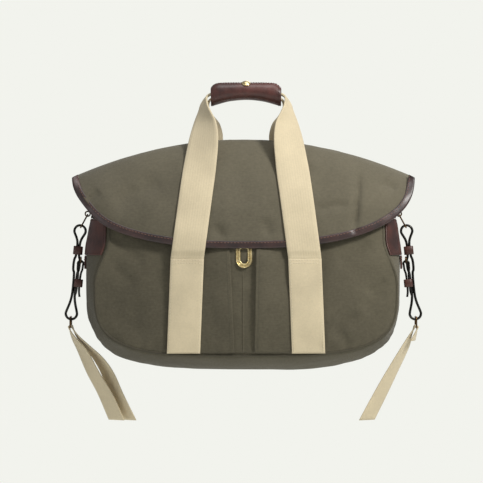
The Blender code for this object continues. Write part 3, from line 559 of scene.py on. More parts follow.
def turned(name, profile, place, look, body):
    """A piece turned about place's local Z, from (radius, height) points that start and end on the axis."""
    sides = 40
    points = [place @ Vector((0, 0, profile[0][1]))]
    for radius, height in profile[1:-1]:
        points += [place @ Vector((radius * cos(t), radius * sin(t), height)) for t in turns(sides)]
    points.append(place @ Vector((0, 0, profile[-1][1])))
    rings = len(profile) - 2
    faces = [(0, 1 + k, 1 + (k + 1) % sides) for k in range(sides)]
    for i in range(rings - 1):
        a, b = 1 + i * sides, 1 + (i + 1) * sides
        faces += [(a + k, b + k, b + (k + 1) % sides, a + (k + 1) % sides) for k in range(sides)]
    top, end = 1 + (rings - 1) * sides, len(points) - 1
    faces += [(end, top + (k + 1) % sides, top + k) for k in range(sides)]
    add_solid(name, points, faces, look, body)


# Sections of one stitch: share of its length, radius and lift as shares of the thread's radius
STITCH_SECTIONS = ((0.0, 0.35, -0.2), (0.2, 1.0, 0.45), (0.8, 1.0, 0.45), (1.0, 0.35, -0.2))


def stitches(name, path, out, look, body, length=0.0030, gap=0.0013, radius=0.00042):
    """A row of short raised threads along a path; out is one direction, or a function of a point."""
    travel = lengths_along(path)
    points, faces, at, index = [], [], gap / 2, 0

    def place(distance):
        nonlocal index
        while index < len(travel) - 2 and travel[index + 1] < distance:
            index += 1
        span = max(travel[index + 1] - travel[index], 1e-9)
        return path[index].lerp(path[index + 1], (distance - travel[index]) / span)

    while at + length < travel[-1]:
        first, last = place(at), place(at + length)
        along = (last - first).normalized()
        away = out(first.lerp(last, 0.5)) if callable(out) else out
        aside = along.cross(away).normalized()
        base = len(points)
        for share, grow, lift in STITCH_SECTIONS:
            centre = first.lerp(last, share) + away * radius * lift
            points += [centre + (aside * cos(t) + away * sin(t)) * radius * grow for t in turns(6)]
        for i in range(3):
            for k in range(6):
                a, b = base + i * 6 + k, base + i * 6 + (k + 1) % 6
                faces.append((a, b, b + 6, a + 6))
        faces += [tuple(base + k for k in range(5, -1, -1)), tuple(base + 18 + k for k in range(6))]
        at += length + gap
    add_piece(name, points, faces, look, body)


# ---------------------------------------------------------------- materials

def set_values(made, **values):
    """Sets a node's properties, or its inputs, whose names are written with _ for each space."""
    for key, value in values.items():
        if hasattr(made, key):
            setattr(made, key, value)
        else:
            made.inputs[key.replace("_", " ")].default_value = value


def new_material(name, color, roughness, metallic=0.0):
    made = bpy.data.materials.new(name)
    made.use_nodes = True
    shader = made.node_tree.nodes["Principled BSDF"]
    set_values(shader, Base_Color=(*color, 1), Roughness=roughness, Metallic=metallic)
    return made, made.node_tree, shader


def node(tree, kind, links=(), **values):
    """Adds a shader node; links join its inputs to other nodes' outputs."""
    made = tree.nodes.new(kind)
    set_values(made, **values)
    for socket, source in links:
        tree.links.new(source, made.inputs[socket])
    return made


def coordinates(tree):
    """Texture coordinates: along the cloth in metres, and in space."""
    made = tree.nodes.new("ShaderNodeTexCoord")
    return made.outputs["UV"], made.outputs["Object"]


def math(tree, operation, a, b):
    made = tree.nodes.new("ShaderNodeMath")
    made.operation = operation
    for socket, value in zip(made.inputs, (a, b)):
        if isinstance(value, (int, float)):
            socket.default_value = value
        else:
            tree.links.new(value, socket)
    return made.outputs[0]


def weighted(tree, *terms):
    """The sum of outputs, each times its weight."""
    products = [math(tree, "MULTIPLY", output, weight) for output, weight in terms]
    total = products[0]
    for product in products[1:]:
        total = math(tree, "ADD", total, product)
    return total


def blotches(tree, vector, scale, detail=4.0):
    return node(tree, "ShaderNodeTexNoise", [("Vector", vector)], Scale=scale, Detail=detail).outputs["Fac"]


def tint(tree, shader, factor, dark, light, low, high):
    """Drives the base colour between two colours by a factor, from low to high."""
    ramp = node(tree, "ShaderNodeValToRGB", [("Fac", factor)])
    for element, position, color in zip(ramp.color_ramp.elements, (low, high), (dark, light)):
        element.position = position
        element.color = (*color, 1)
    tree.links.new(ramp.outputs["Color"], shader.inputs["Base Color"])


def vary_roughness(tree, shader, factor, low, high):
    rough = node(tree, "ShaderNodeMapRange", [("Value", factor)], To_Min=low, To_Max=high)
    tree.links.new(rough.outputs["Result"], shader.inputs["Roughness"])


def scaled(color, share):
    return tuple(c * share for c in color)


def bump(tree, shader, height, strength, distance):
    made = node(tree, "ShaderNodeBump", [("Height", height)], Strength=strength, Distance=distance)
    tree.links.new(made.outputs["Normal"], shader.inputs["Normal"])


def threads(tree, uv, across_pitch, along_pitch):
    """The height of a plain weave with these pitches, from texture coordinates in metres."""
    waves = []
    for direction, pitch in (("X", across_pitch), ("Y", along_pitch)):
        wave = node(tree, "ShaderNodeTexWave", [("Vector", uv)], wave_type="BANDS",
                    bands_direction=direction, Scale=2 * pi / (20 * pitch), Distortion=0.6, Detail=1.0,
                    Detail_Scale=2.0)
        waves.append(wave.outputs["Fac"])
    return math(tree, "ADD", waves[0], waves[1])


PAINTED_LIGHT_ACROSS, PAINTED_LIGHT_UP, PAINTED_LIGHT_LEVEL = 0.42, 0.75, 0.15      # painted light and shade: the cloth is paler to the right and near the top, where the key light falls, and darker to the lower left
SLUB_SCALE = (90, 900, 1)        # slubs are ten times as long as they are thick


def canvas_material(name, color, pitch=0.0009):
    made, tree, shader = new_material(name, color, 0.88)
    uv, place = coordinates(tree)
    weave = threads(tree, uv, pitch, pitch)
    slubs = node(tree, "ShaderNodeMapping", [("Vector", uv)], Scale=SLUB_SCALE)
    streaks = blotches(tree, slubs.outputs["Vector"], 1.0, 2.0)
    # Painted light: the tint grows paler with X and with height, standing in for the key light from the
    # upper right.
    split = node(tree, "ShaderNodeSeparateXYZ", [("Vector", place)])
    cloud = weighted(tree, (blotches(tree, place, 14.0), 0.40), (blotches(tree, place, 260.0, 3.0), 0.35),
                     (streaks, 0.30), (split.outputs["X"], PAINTED_LIGHT_ACROSS), (split.outputs["Z"], PAINTED_LIGHT_UP))
    cloud = math(tree, "ADD", cloud, PAINTED_LIGHT_LEVEL)
    tint(tree, shader, cloud, scaled(color, 0.62), scaled(color, 1.32), 0.20, 0.86)
    height = math(tree, "ADD", weave, math(tree, "MULTIPLY", streaks, 1.3))
    bump(tree, shader, height, 0.30, 0.0004)
    set_values(shader, Sheen_Weight=0.12, Sheen_Roughness=0.5, Specular_IOR_Level=0.25)
    return made


def webbing_material(name, color):
    made, tree, shader = new_material(name, color, 0.9)
    uv, place = coordinates(tree)
    weave = threads(tree, uv, 0.0016, 0.0011)
    cloud = weighted(tree, (blotches(tree, place, 22.0), 0.5), (blotches(tree, place, 420.0, 3.0), 0.3),
                     (weave, 0.06))
    tint(tree, shader, cloud, scaled(color, 0.84), scaled(color, 1.10), 0.30, 0.72)
    bump(tree, shader, weave, 0.20, 0.0004)
    set_values(shader, Sheen_Weight=0.15, Specular_IOR_Level=0.2)
    return made


def leather_material(name, color, light, roughness, coat):
    made, tree, shader = new_material(name, color, roughness)
    _, place = coordinates(tree)
    grain = node(tree, "ShaderNodeTexVoronoi", [("Vector", place)], feature="SMOOTH_F1", Scale=900.0)
    cloud = weighted(tree, (blotches(tree, place, 34.0), 0.75), (blotches(tree, place, 240.0), 0.25))
    tint(tree, shader, cloud, color, light, 0.36, 0.68)
    vary_roughness(tree, shader, blotches(tree, place, 60.0), roughness * 0.7, roughness * 1.4)
    height = weighted(tree, (grain.outputs["Distance"], 0.6), (blotches(tree, place, 120.0), 1.6))
    bump(tree, shader, height, 0.35, 0.0006)
    set_values(shader, Coat_Weight=coat, Coat_Roughness=0.32)
    return made


def metal_material(name, color, roughness, tarnish):
    made, tree, shader = new_material(name, color, roughness, 1.0)
    _, place = coordinates(tree)
    cloud = blotches(tree, place, 320.0, 5.0)
    tint(tree, shader, cloud, tarnish, color, 0.38, 0.60)
    vary_roughness(tree, shader, cloud, min(roughness * 1.5, 0.7), roughness * 0.8)
    bump(tree, shader, blotches(tree, place, 900.0, 2.0), 0.12, 0.0002)
    return made


def thread_material(name, color, roughness):
    return new_material(name, color, roughness)[0]


CANVAS_COLOR = (0.112, 0.099, 0.066)
GRIP_COLORS = (0.040, 0.014, 0.011), (0.105, 0.030, 0.022)
BINDING_COLORS = (0.022, 0.012, 0.011), (0.060, 0.026, 0.022)
SIDE_COLORS = (0.036, 0.0125, 0.0085), (0.098, 0.030, 0.019)

# Looks of the pieces: a material and the record's slot for it. DARK_THREAD and PALE_THREAD are materials
# alone, because they sew pieces of different slots.
CANVAS_LOOK = canvas_material("canvas", CANVAS_COLOR), "canvas"
FLAP_LOOK = canvas_material("flap_canvas", (0.124, 0.110, 0.075)), "flap_canvas"
LINING_LOOK = canvas_material("lining_cloth", (0.20, 0.18, 0.13), 0.0006), "lining_cloth"
WEBBING_LOOK = webbing_material("webbing", (0.66, 0.565, 0.385)), "webbing"
GRIP_LOOK = leather_material("grip_leather", *GRIP_COLORS, 0.42, 0.18), "grip_leather"
BINDING_LOOK = leather_material("binding_leather", *BINDING_COLORS, 0.42, 0.30), "binding_leather"
SIDE_LOOK = leather_material("side_leather", *SIDE_COLORS, 0.45, 0.10), "side_leather"
BRASS_LOOK = metal_material("brass", (0.90, 0.76, 0.42), 0.27, (0.66, 0.50, 0.22)), "brass"
BRONZE_LOOK = metal_material("bronze", (0.20, 0.115, 0.050), 0.34, (0.045, 0.030, 0.020)), "bronze"
WIRE_LOOK = metal_material("black_wire", (0.060, 0.058, 0.050), 0.30, (0.022, 0.021, 0.019)), "black_wire"
BINDING_THREAD = thread_material("brown_thread", (0.17, 0.085, 0.062), 0.7), "binding_leather"
DARK_THREAD = thread_material("dark_thread", (0.060, 0.026, 0.019), 0.7)
# The piping is the canvas darkened: painted shade along the seams.
PIPING_LOOK = canvas_material("piping_canvas", scaled(CANVAS_COLOR, 0.75)), "canvas"
PALE_THREAD = thread_material("pale_thread", (0.70, 0.62, 0.46), 0.9)
PLEAT_THREAD = thread_material("green_thread", (0.085, 0.078, 0.052), 0.9), "canvas"


# ---------------------------------------------------------------- folds and hollows in the cloth

# Layers of folds: height, waves to the metre, seed
BODY_LAYERS = ((0.0040, 9.0, 1.3), (0.0019, 23.0, 4.1), (0.0006, 60.0, 7.7))
FLAP_LAYERS = ((0.0040, 8.0, 11.3), (0.0018, 21.0, 5.9), (0.0006, 55.0, 3.3))
BODY_CREASE_GAIN = 1.5
FLAP_CREASE_GAIN = 2.2
PUCKER_HEIGHT = 0.0009           # of the small puckers above the bottom seam
PUCKER_WAVES = 330

# Creases: start, end, width and depth
BODY_CREASES = (
    ((-0.205, -0.215), (-0.150, -0.262), 0.010, 0.0022), ((-0.212, -0.250), (-0.165, -0.300), 0.012, 0.0016),
    ((-0.200, -0.335), (-0.140, -0.372), 0.012, 0.0018), ((-0.130, -0.300), (-0.175, -0.345), 0.014, 0.0014),
    ((0.212, -0.283), (0.180, -0.306), 0.008, 0.0026), ((0.215, -0.300), (0.175, -0.330), 0.009, 0.0020),
    ((0.168, -0.330), (0.128, -0.376), 0.009, 0.0022), ((0.190, -0.225), (0.135, -0.262), 0.012, 0.0018),
    ((0.130, -0.345), (0.160, -0.392), 0.008, 0.0016), ((-0.060, -0.300), (-0.040, -0.385), 0.012, 0.0012))
FLAP_CREASES = (
    ((0.176, -0.118), (0.164, -0.226), 0.0046, 0.0036), ((0.104, -0.180), (0.162, -0.170), 0.007, 0.0016),
    ((0.060, -0.100), (0.105, -0.128), 0.012, 0.0020), ((-0.120, -0.135), (-0.200, -0.172), 0.016, 0.0022),
    ((-0.043, -0.200), (-0.028, -0.224), 0.008, 0.0022), ((0.030, -0.190), (0.040, -0.222), 0.008, 0.0016),
    ((0.205, -0.135), (0.232, -0.150), 0.007, 0.0018), ((-0.215, -0.150), (-0.236, -0.168), 0.007, 0.0014),
    ((-0.020, -0.110), (0.010, -0.180), 0.020, 0.0018))


def layered(x, z, layers):
    return sum(height * noise.noise(Vector((x * waves, z * waves, seed))) for height, waves, seed in layers)


def crease(x, z, start, end, width, depth):
    """A soft groove between two points of a panel."""
    line = Vector(end) - Vector(start)
    away = Vector((x, z)) - Vector(start)
    t = clamp(away.dot(line) / line.length_squared)
    distance = (away - line * t).length + 0.3 * width * noise.noise(Vector((x * 60, z * 60, 3.7)))
    fade = smooth(min(4.5 * t * (1 - t), 1))
    return -depth * fade * exp(-(distance / width) ** 2)


def body_wave(x, z):
    """How far the front or back cloth stands out from its smooth surface."""
    wave = layered(x, z, BODY_LAYERS)
    wave += BODY_CREASE_GAIN * sum(crease(x, z, *shape) for shape in BODY_CREASES)
    low = clamp((z - SEAM_BOTTOM_Z) / 0.030)
    wave += PUCKER_HEIGHT * (1 - low) * sin(x * PUCKER_WAVES + layered(x, z, ((3, 12, 2.0),)))
    edge = clamp((SEAM_HALF_WIDTH - abs(x)) / 0.030) * clamp((z - SEAM_BOTTOM_Z) / 0.012)
    return wave * edge * clamp((MOUTH_Z - z) / 0.050)


def flap_wave(x, z):
    creases = sum(crease(x, z, *shape) for shape in FLAP_CREASES)
    return layered(x, z, FLAP_LAYERS) + FLAP_CREASE_GAIN * creases


def body_depth(x, z):
    return half_depth(x, z) + body_wave(x, z)


def flap_surface_y(x, z):
    """The flap's front cloth with its folds, which fade out at the edge and the ridge."""
    fade = clamp((z - flap_edge_z(x)) / 0.020, 0.25, 1) * clamp((ridge_z(x) - z) / 0.030)
    return flap_front_y(x, z) - flap_wave(x, z) * fade


# ---------------------------------------------------------------- body

PANEL_INSET = 0.0006


def make_panel(name, side):
    widest, drop = SEAM_HALF_WIDTH - PANEL_INSET, SEAM_CORNER_Z - SEAM_BOTTOM_Z - PANEL_INSET
    rows = []
    for level in steps(MOUTH_Z if side < 0 else HINGE_Z - PANEL_INSET, SEAM_BOTTOM_Z, 74):
        reach = seam_half_width(level, widest, SEAM_TOP_HALF_WIDTH - PANEL_INSET, SEAM_CORNER_Z)
        down = max(SEAM_CORNER_Z - level, 0) / (SEAM_CORNER_Z - SEAM_BOTTOM_Z) * drop
        row = []
        for share in fine(-0.9995, 0.9995, 131):
            z = max(level, SEAM_CORNER_Z) - down * (1 - abs(share) ** SEAM_POWER) ** (1 / SEAM_POWER)
            x = share * reach
            row.append(Vector((x, side * body_depth(x, z), z)))
        rows.append(row)
    cloth(name, rows, CANVAS, CANVAS_LOOK, "bag", direction=Vector((0, side, 0)), edge=1)


def gusset_wave(s, t):
    fade = clamp((1 - abs(t)) / 0.25) * clamp(min(s, 1 - s) / 0.05)
    broad = 0.0024 * noise.noise(Vector((s * 16, t * 1.6, 2.2)))
    return (broad + 0.0008 * noise.noise(Vector((s * 60, t * 4, 5.2)))) * fade


def make_gusset():
    rows = []
    for s in outline_stations(0, 26):
        row = []
        for t in steps(-0.985, 0.985, 31):
            point = gusset_point(s, t)
            out = Vector((point.x, 0, min(point.z - WAIST_CORNER_Z, 0))).normalized()
            row.append(point + out * gusset_wave(s, t))
        rows.append(row)
    cloth("gusset", rows, CANVAS, CANVAS_LOOK, "bag")


def make_piping():
    for name, side in (("front_piping", -1), ("back_piping", 1)):
        path = []
        for x, z in (seam_point(s) for s in outline_stations(0.002, 14)):
            path.append(Vector((x, side * half_depth(x, z), z)))
        sizes = [PIPING_RADIUS * (1 + 0.10 * noise.noise(p * 60)) for p in path]
        wire(name, path, sizes, PIPING_LOOK, "bag", sides=12)


# ---------------------------------------------------------------- lining

LINING_CLEARANCE = 0.0080
LINING_POWER = 2.8
INNER_POCKET_HALF_WIDTH, INNER_POCKET_TOP_Z, INNER_POCKET_LOW_Z = 0.085, -0.205, -0.330


def lining_size(z):
    """The lining's half width and half depth at a height."""
    reach = clamp((WAIST_CORNER_Z - z) / (WAIST_CORNER_Z - BASE_Z))
    waist = side_half_width(z, WAIST_HALF_WIDTH, WAIST_TOP_HALF_WIDTH, WAIST_CORNER_Z)
    waist *= (1 - reach ** WAIST_POWER) ** (1 / WAIST_POWER)
    depth = half_depth(0, z)
    if z < SEAM_BOTTOM_Z:
        depth *= sqrt((z - BASE_Z) / (SEAM_BOTTOM_Z - BASE_Z))
    return waist - LINING_CLEARANCE, depth - LINING_CLEARANCE


def lining_ring(z, inset, lift):
    half_width, depth = (size - inset for size in lining_size(z))
    return [Vector((half_width * signed_power(cos(t), 2 / LINING_POWER) + LEAN,
                    depth * signed_power(sin(t), 2 / LINING_POWER), z + lift)) for t in turns(120)]


def make_lining():
    """An open tub of thin cloth: an outer and an inner wall, joined by a rim at the mouth."""
    heights = [MOUTH_Z - 0.004, MOUTH_Z - 0.005, *steps(-0.160, -0.385, 40), -0.390, -0.395, -0.400, -0.4055]
    outer = [lining_ring(z, 0, 0) for z in heights]
    inner = [lining_ring(z, LINING, LINING if i else 0) for i, z in enumerate(heights)]
    for point in (point for ring in inner for point in ring):
        pull = 0.0030 * (0.5 + 0.5 * noise.noise(point * 22)) * clamp((MOUTH_Z - 0.006 - point.z) / 0.04)
        point.x -= copysign(pull, point.x)
        point.y -= copysign(pull, point.y)
    rings = outer[::-1] + inner
    add_tube("lining", rings, LINING_LOOK, "bag", [(p.x + p.y, p.z) for ring in rings for p in ring])


def make_inner_pocket():
    rows = []
    for z in steps(INNER_POCKET_LOW_Z, INNER_POCKET_TOP_Z, 30):
        half_width, depth = (size - LINING for size in lining_size(z))
        rise = smooth((z - INNER_POCKET_LOW_Z) / (INNER_POCKET_TOP_Z - INNER_POCKET_LOW_Z))
        row = []
        for x in steps(-INNER_POCKET_HALF_WIDTH, INNER_POCKET_HALF_WIDTH, 50):
            wall = depth * (1 - abs(x / half_width) ** LINING_POWER) ** (1 / LINING_POWER)
            sag = 0.0020 * rise * (1 - (x / INNER_POCKET_HALF_WIDTH) ** 2)
            row.append(Vector((x + LEAN, wall - 3.8 * LINING - sag, z)))
        rows.append(row)
    cloth("inner_pocket", rows, LINING, LINING_LOOK, "bag", direction=FRONT)
    hem = [point + Vector((0, -LINING / 2, -0.006)) for point in rows[-1]]
    stitches("inner_pocket_hem", hem, FRONT, (PALE_THREAD, "lining_cloth"), "bag")


# ---------------------------------------------------------------- front pocket

FLUSH = CANVAS / 2 + POCKET_GAP + POCKET_CLOTH / 2
POCKET_HALF_WIDTH, POCKET_TOP_Z, POCKET_LOW_Z = 0.094, -0.212, -0.3935


def pocket_folds(z):
    """The places across the pocket of its two pleat folds and the crease between them, at a height."""
    down = clamp((POCKET_TOP_Z - z) / (POCKET_TOP_Z - POCKET_LOW_Z))
    return mix(-0.0262, -0.0182, down), -0.0045, mix(0.0160, 0.0128, down)


def pocket_rise(x, z):
    """How far the pocket stands out from its flat state: two proud sides that fold under at the pleat."""
    left, middle, right = pocket_folds(z)
    below_flap = smooth((-0.232 - z) / 0.016)
    low = smooth((-0.300 - z) / 0.090)
    if x < left:
        return mix(0.0020, 0.0036, below_flap) * smooth((x + 0.075) / (left + 0.075)) * mix(1, 0.75, low)
    if x > right:
        return mix(0.0026, 0.0068, below_flap) * smooth((0.070 - x) / (0.070 - right)) * mix(1, 0.62, low)
    return 0.0009 * exp(-((x - middle) / 0.0009) ** 2) * smooth((-0.270 - z) / 0.012)


def pocket_point(x, z, lift=0.0):
    return Vector((x, -body_depth(x, z) - FLUSH - pocket_rise(x, z) - lift, z))


def pocket_columns(z):
    """Places across the pocket at a height, close together at the folds and the crease."""
    left, middle, right = pocket_folds(z)
    return [*steps(-POCKET_HALF_WIDTH, left - 0.0040, 20), left - 0.0020, left - 0.0008, left - 0.0001,
            left + 0.0006, left + 0.0016, *steps(left + 0.004, middle - 0.0030, 6),
            *steps(middle - 0.0020, middle + 0.0020, 9), *steps(middle + 0.0030, right - 0.0034, 5),
            right - 0.0016, right - 0.0006, right + 0.0001, right + 0.0008, right + 0.0020,
            *steps(right + 0.0040, POCKET_HALF_WIDTH, 20)]


def make_front_pocket():
    rows = [[pocket_point(x, z) for x in pocket_columns(z)] for z in steps(POCKET_LOW_Z, POCKET_TOP_Z, 70)]
    cloth("front_pocket", rows, POCKET_CLOTH, CANVAS_LOOK, "bag", direction=FRONT)
    for name, fold, beside in (("left", 0, -0.0045), ("right", 2, 0.0050)):
        line = [pocket_point(pocket_folds(z)[fold] + beside, z, POCKET_CLOTH / 2)
                for z in steps(-0.240, POCKET_LOW_Z + 0.002, 60)]
        stitches(f"pleat_stitches_{name}", line, FRONT, PLEAT_THREAD, "bag", length=0.0024, gap=0.0014,
                 radius=0.00035)


# ---------------------------------------------------------------- flap

CLOTH_INSET = 0.0042             # the flap's cloth ends this far inside its binding's outer edge
BINDING_STATIONS = 191
BINDING_STEP = 0.012             # the binding's inner side lies at most this far behind its outer side
EAR_LIFT = 0.36                  # how steeply the binding's ends rise, to follow the ridge
EAR_LIFT_STATIONS = 12


def make_flap():
    columns = []
    widest = FLAP_HALF_WIDTH - CLOTH_INSET
    for share in fine(-0.997, 0.997, 151):
        x = share * widest
        top_z = ridge_z(x) + 0.0012 * noise.noise(Vector((x * 40, 8.8, 0))) * clamp((0.2 - abs(x)) / 0.05)
        low_z = min(flap_edge_z(x * FLAP_HALF_WIDTH / widest) + 0.0055, top_z - 0.0012)
        hinge_x = x * HINGE_HALF_WIDTH / (FLAP_HALF_WIDTH - BINDING_WIDTH)
        column = []
        for t in steps(0, 1, 24)[:-1]:
            z = mix(HINGE_Z, top_z, sin(t * pi / 2))
            y = flap_back_y(x, min(z, ridge_z(x)))
            y += 0.6 * flap_wave(x, -0.30 - z) * sin(t * pi)
            column.append(Vector((mix(hinge_x, x, t) + LEAN, y, z)))
        for t in steps(0, 1, 60):
            z = mix(top_z, low_z, 1 - cos(t * pi / 2))
            column.append(Vector((x + LEAN, flap_surface_y(x, min(z, ridge_z(x))), z)))
        columns.append(column)
    rows = [list(row) for row in zip(*columns)]
    cloth("flap_panel", rows, FLAP_CLOTH, FLAP_LOOK, "flap")


def binding_lines():
    """Along the flap's edge: the binding's middle points, and directions across it and out of it."""
    middles, acrosses, outs, edges = [], [], [], []
    for turn in steps(0, pi, BINDING_STATIONS):
        x, y, z = flap_edge(turn)
        edges.append(Vector((x, y - 0.25 * flap_wave(x, z) * min(1, sin(turn) * 3), z)))
    last = BINDING_STATIONS - 1
    for i, edge in enumerate(edges):
        along = edges[min(i + 1, last)] - edges[max(i - 1, 0)]
        flat = Vector((along.x, 0, along.z)).normalized()
        inner = edge + Vector((flat.z, 0, -flat.x)) * BINDING_WIDTH
        inner.y = flap_surface_y(inner.x, min(inner.z, ridge_z(inner.x)))
        inner.y = min(inner.y, edge.y + BINDING_STEP)
        across = (inner - edge).normalized()
        across.z += EAR_LIFT * clamp(1 - min(i, last - i) / EAR_LIFT_STATIONS)
        out = along.normalized().cross(across).normalized()
        if out.y > 0:
            out.negate()
        middles.append(edge + across * BINDING_WIDTH / 2 + Vector((LEAN, 0, 0)))
        acrosses.append(across)
        outs.append(out)
    return middles, acrosses, outs


def make_binding():
    middles, acrosses, outs = binding_lines()
    middles = [m + out * 0.0004 * noise.noise(m * 70) for m, out in zip(middles, outs)]
    band("flap_binding", middles, acrosses, outs, BINDING_WIDTH / 2, BINDING / 2 + 0.0005, BINDING_LOOK,
         "flap")
    line = [m + a * 0.0026 + o * (BINDING / 2 + 0.0004) for m, a, o in zip(middles, acrosses, outs)]
    stitches("binding_stitches", line, FRONT, BINDING_THREAD, "flap", length=0.0034, gap=0.0016,
             radius=0.0005)


def make_flap_stud():
    profile = [(0, 0.0), (0.0042, 0.0), (0.0042, 0.0006), (0.0038, 0.0008), (0.0026, 0.0010),
               (0.0024, 0.0018), (0.0030, 0.0024), (0.0035, 0.0028), (0.0034, 0.0033), (0.0026, 0.0037),
               (0, 0.0039)]
    place = Matrix.Translation((LOCK_X, FLAP_EDGE_Y + BINDING / 2 + 4 * GAP, STUD_Z))
    turned("flap_stud", profile, place @ Matrix.Rotation(radians(-90), 4, "X"), BRASS_LOOK, "flap")


# ---------------------------------------------------------------- handles

EDGE_STITCH = 0.0018             # from a strap's outermost column of points to its row of stitches
SUNK = 0.0001                    # how deep threads lie in what they hold


def sewn_reach(x, z, front):
    """How far a sewn strap's middle is from y = 0; a front one stands out where its stitching ends."""
    lift = 0.0044 * smooth((z + 0.325) / 0.072) if front else 0
    return body_depth(x, z) + SEWN_OFFSET + lift


def free_reach(x, z, front):
    """The same above the stitching, where the strap turns over the flap."""
    if front:
        over_flap = 0.0036 - flap_surface_y(x - LEAN, z)
        return mix(sewn_reach(x, z, front), over_flap, smooth(clamp((z - STITCH_Z) / 0.0125)))
    if z >= HINGE_Z:
        return flap_back_y(x - LEAN, z) + 0.0040
    return max(sewn_reach(x, z, front), HINGE_Y + 0.0040)


def strap_row(side, facing, z, reach):
    middle = strap_x(side, z, facing < 0)
    xs = [middle + share * STRAP_WIDTH / 2 for share in STRAP_SHARES]
    return [Vector((x, facing * reach(x, z, facing < 0), z)) for x in xs]


def make_sewn_strap(name, side, facing):
    out = Vector((0, facing, 0))
    rows = [strap_row(side, facing, z, sewn_reach) for z in steps(-0.3945, STITCH_Z, 44)]
    cloth(name, rows, WEBBING, WEBBING_LOOK, "bag", direction=out, end=1)
    lift = out * (WEBBING / 2 - SUNK)
    thread = (PALE_THREAD, "webbing")
    for place, column, aside in (("outer", 1, EDGE_STITCH), ("inner", 9, -EDGE_STITCH)):
        line = [row[column] + lift + Vector((aside, 0, 0)) for row in rows]
        stitches(f"{name}_{place}_seam", line, out, thread, "bag")
    for k, z in enumerate((-0.2545, -0.2590)):
        middle = strap_x(side, z, facing < 0)
        line = [Vector((x, facing * sewn_reach(x, z, facing < 0), z)) + lift
                for x in steps(middle - 0.0225, middle + 0.0225, 24)]
        stitches(f"{name}_cross_{k}", line, out, thread, "bag", radius=0.0005)


def free_strap_half(side, facing):
    """Rows and thicknesses of a handle's webbing, from its stitching to the middle of the grip."""
    if facing < 0:
        heights = [*steps(STITCH_Z, -0.236, 12), *steps(-0.232, -0.134, 22)]
    else:
        heights = [*steps(STITCH_Z, -0.170, 20), *steps(-0.166, -0.128, 8)]
    rows = [strap_row(side, facing, z, free_reach) for z in heights]
    cloths = [WEBBING] * len(rows)
    high, high_cloth = high_strap_rows(side, facing)
    key_rows = [rows[-5], rows[-1]] + widen(high)
    key_cloth = [WEBBING, WEBBING] + high_cloth
    per_span = 9
    curved = smooth_rows(key_rows, per_span)[per_span:]
    for i, row in enumerate(curved[1:], 1):
        share = i / per_span + 1
        low = min(int(share), len(key_cloth) - 2)
        rows.append(row)
        cloths.append(mix(key_cloth[low], key_cloth[low + 1], share - low))
    return rows, cloths


def make_free_strap(name, facing, body):
    rows, cloths = free_strap_half(-1, facing)
    right_rows, right_cloths = free_strap_half(1, facing)
    rows += [row[::-1] for row in right_rows[-2::-1]]
    cloths += right_cloths[-2::-1]
    pivot_y = facing * (half_depth(0, STITCH_Z) + SEWN_OFFSET)
    bend = {"still": "bag", "moving": body, "start": (0, pivot_y, STITCH_Z - 0.001),
            "end": (0, pivot_y, STITCH_Z + 0.030)}
    cloth(name, rows, cloths, WEBBING_LOOK, bend, end=1)


# ---------------------------------------------------------------- grip

# Turns in degrees from the top towards the front
COVER_TURNS = [14, 14.8, *steps(18, 146, 36), 149.2, 150]
WRAP_TURNS = [152, 152.8, *steps(156, 356, 50), *steps(359, 394, 14), 394.8]
STUD_TURN = radians(34)
GRIP_ROUNDING = 0.0120           # the leather draws in over this length at each end


def grip_rounding(x, turn):
    """How much the leather draws in towards the ends of the grip, most of all on top."""
    end = clamp((abs(x) - GRIP_HALF_LENGTH + GRIP_ROUNDING) / GRIP_ROUNDING)
    return (0.0010 + 0.0085 * max(cos(turn), 0) ** 2) * (1 - sqrt(1 - end * end))


def make_leather_sector(name, turns_round, insets, body):
    end = GRIP_HALF_LENGTH
    rows = []
    for x in [-end, -end + 0.0008, *steps(-0.0515, 0.0515, 61), end - 0.0008, end]:
        row = []
        for turn, inset in zip(turns_round, insets):
            soft = 0.0003 * noise.noise(Vector((x * 60, turn * 0.03, 6.1))) - grip_rounding(x, radians(turn))
            row.append(grip_section(x, radians(turn), inset + LEATHER / 2 - soft))
        rows.append(row)
    cloth(name, rows, LEATHER, GRIP_LOOK, body, edge=0.55)


def grip_stitches(name, stations, out, body):
    """Stitches on the grip through stations (x, turn in degrees)."""
    line = [grip_section(x, radians(turn), grip_rounding(x, radians(turn)) - SUNK) for x, turn in stations]
    stitches(name, line, out, (DARK_THREAD, "grip_leather"), body, length=0.0026, gap=0.0012)


def make_grip():
    insets = [(LEATHER + TUCK) * smooth((turn - 358) / 12) for turn in WRAP_TURNS]
    make_leather_sector("grip_wrap", WRAP_TURNS, insets, "front_handle")
    make_leather_sector("grip_cover", COVER_TURNS, [0.0] * len(COVER_TURNS), "cover")
    for hand, side in SIDES:
        for name, first, last, body in (("cover", 18, 146, "cover"), ("wrap", 158, 354, "front_handle")):
            stations = [(side * 0.0495, turn) for turn in steps(first, last, 40)]
            grip_stitches(f"grip_{name}_stitches_{hand}", stations,
                          lambda p: Vector((0, p.y, p.z)).normalized(), body)
    grip_stitches("grip_cover_stitches_top", [(x, 18.5) for x in steps(-0.047, 0.047, 40)],
                  Vector((0, -0.3, 1)).normalized(), "cover")
    cap = [(0, 0.0003), (0.0062, 0.0003), (0.0066, 0.0006), (0.0066, 0.0010), (0.0058, 0.0016),
           (0.0050, 0.0016), (0.0046, 0.0020), (0.0036, 0.0028), (0.0020, 0.0033), (0, 0.0034)]
    socket = [(0, 0.0003), (0.0030, 0.0003), (0.0030, 0.0007), (0.0018, 0.0010), (0, 0.0010)]
    for name, profile, inset, body in (("grip_stud", cap, 0, "cover"),
                                       ("grip_stud_socket", socket, LEATHER + TUCK, "front_handle")):
        place = Matrix.Translation(grip_section(0, STUD_TURN, inset)) @ Matrix.Rotation(STUD_TURN, 4, "X")
        turned(name, profile, place, BRASS_LOOK, body)


# ---------------------------------------------------------------- front lock

RIM_POINTS = 96
PLATE_MIDDLE = 0.0010            # heights above the plate's back
PLATE_RIM = 0.0019


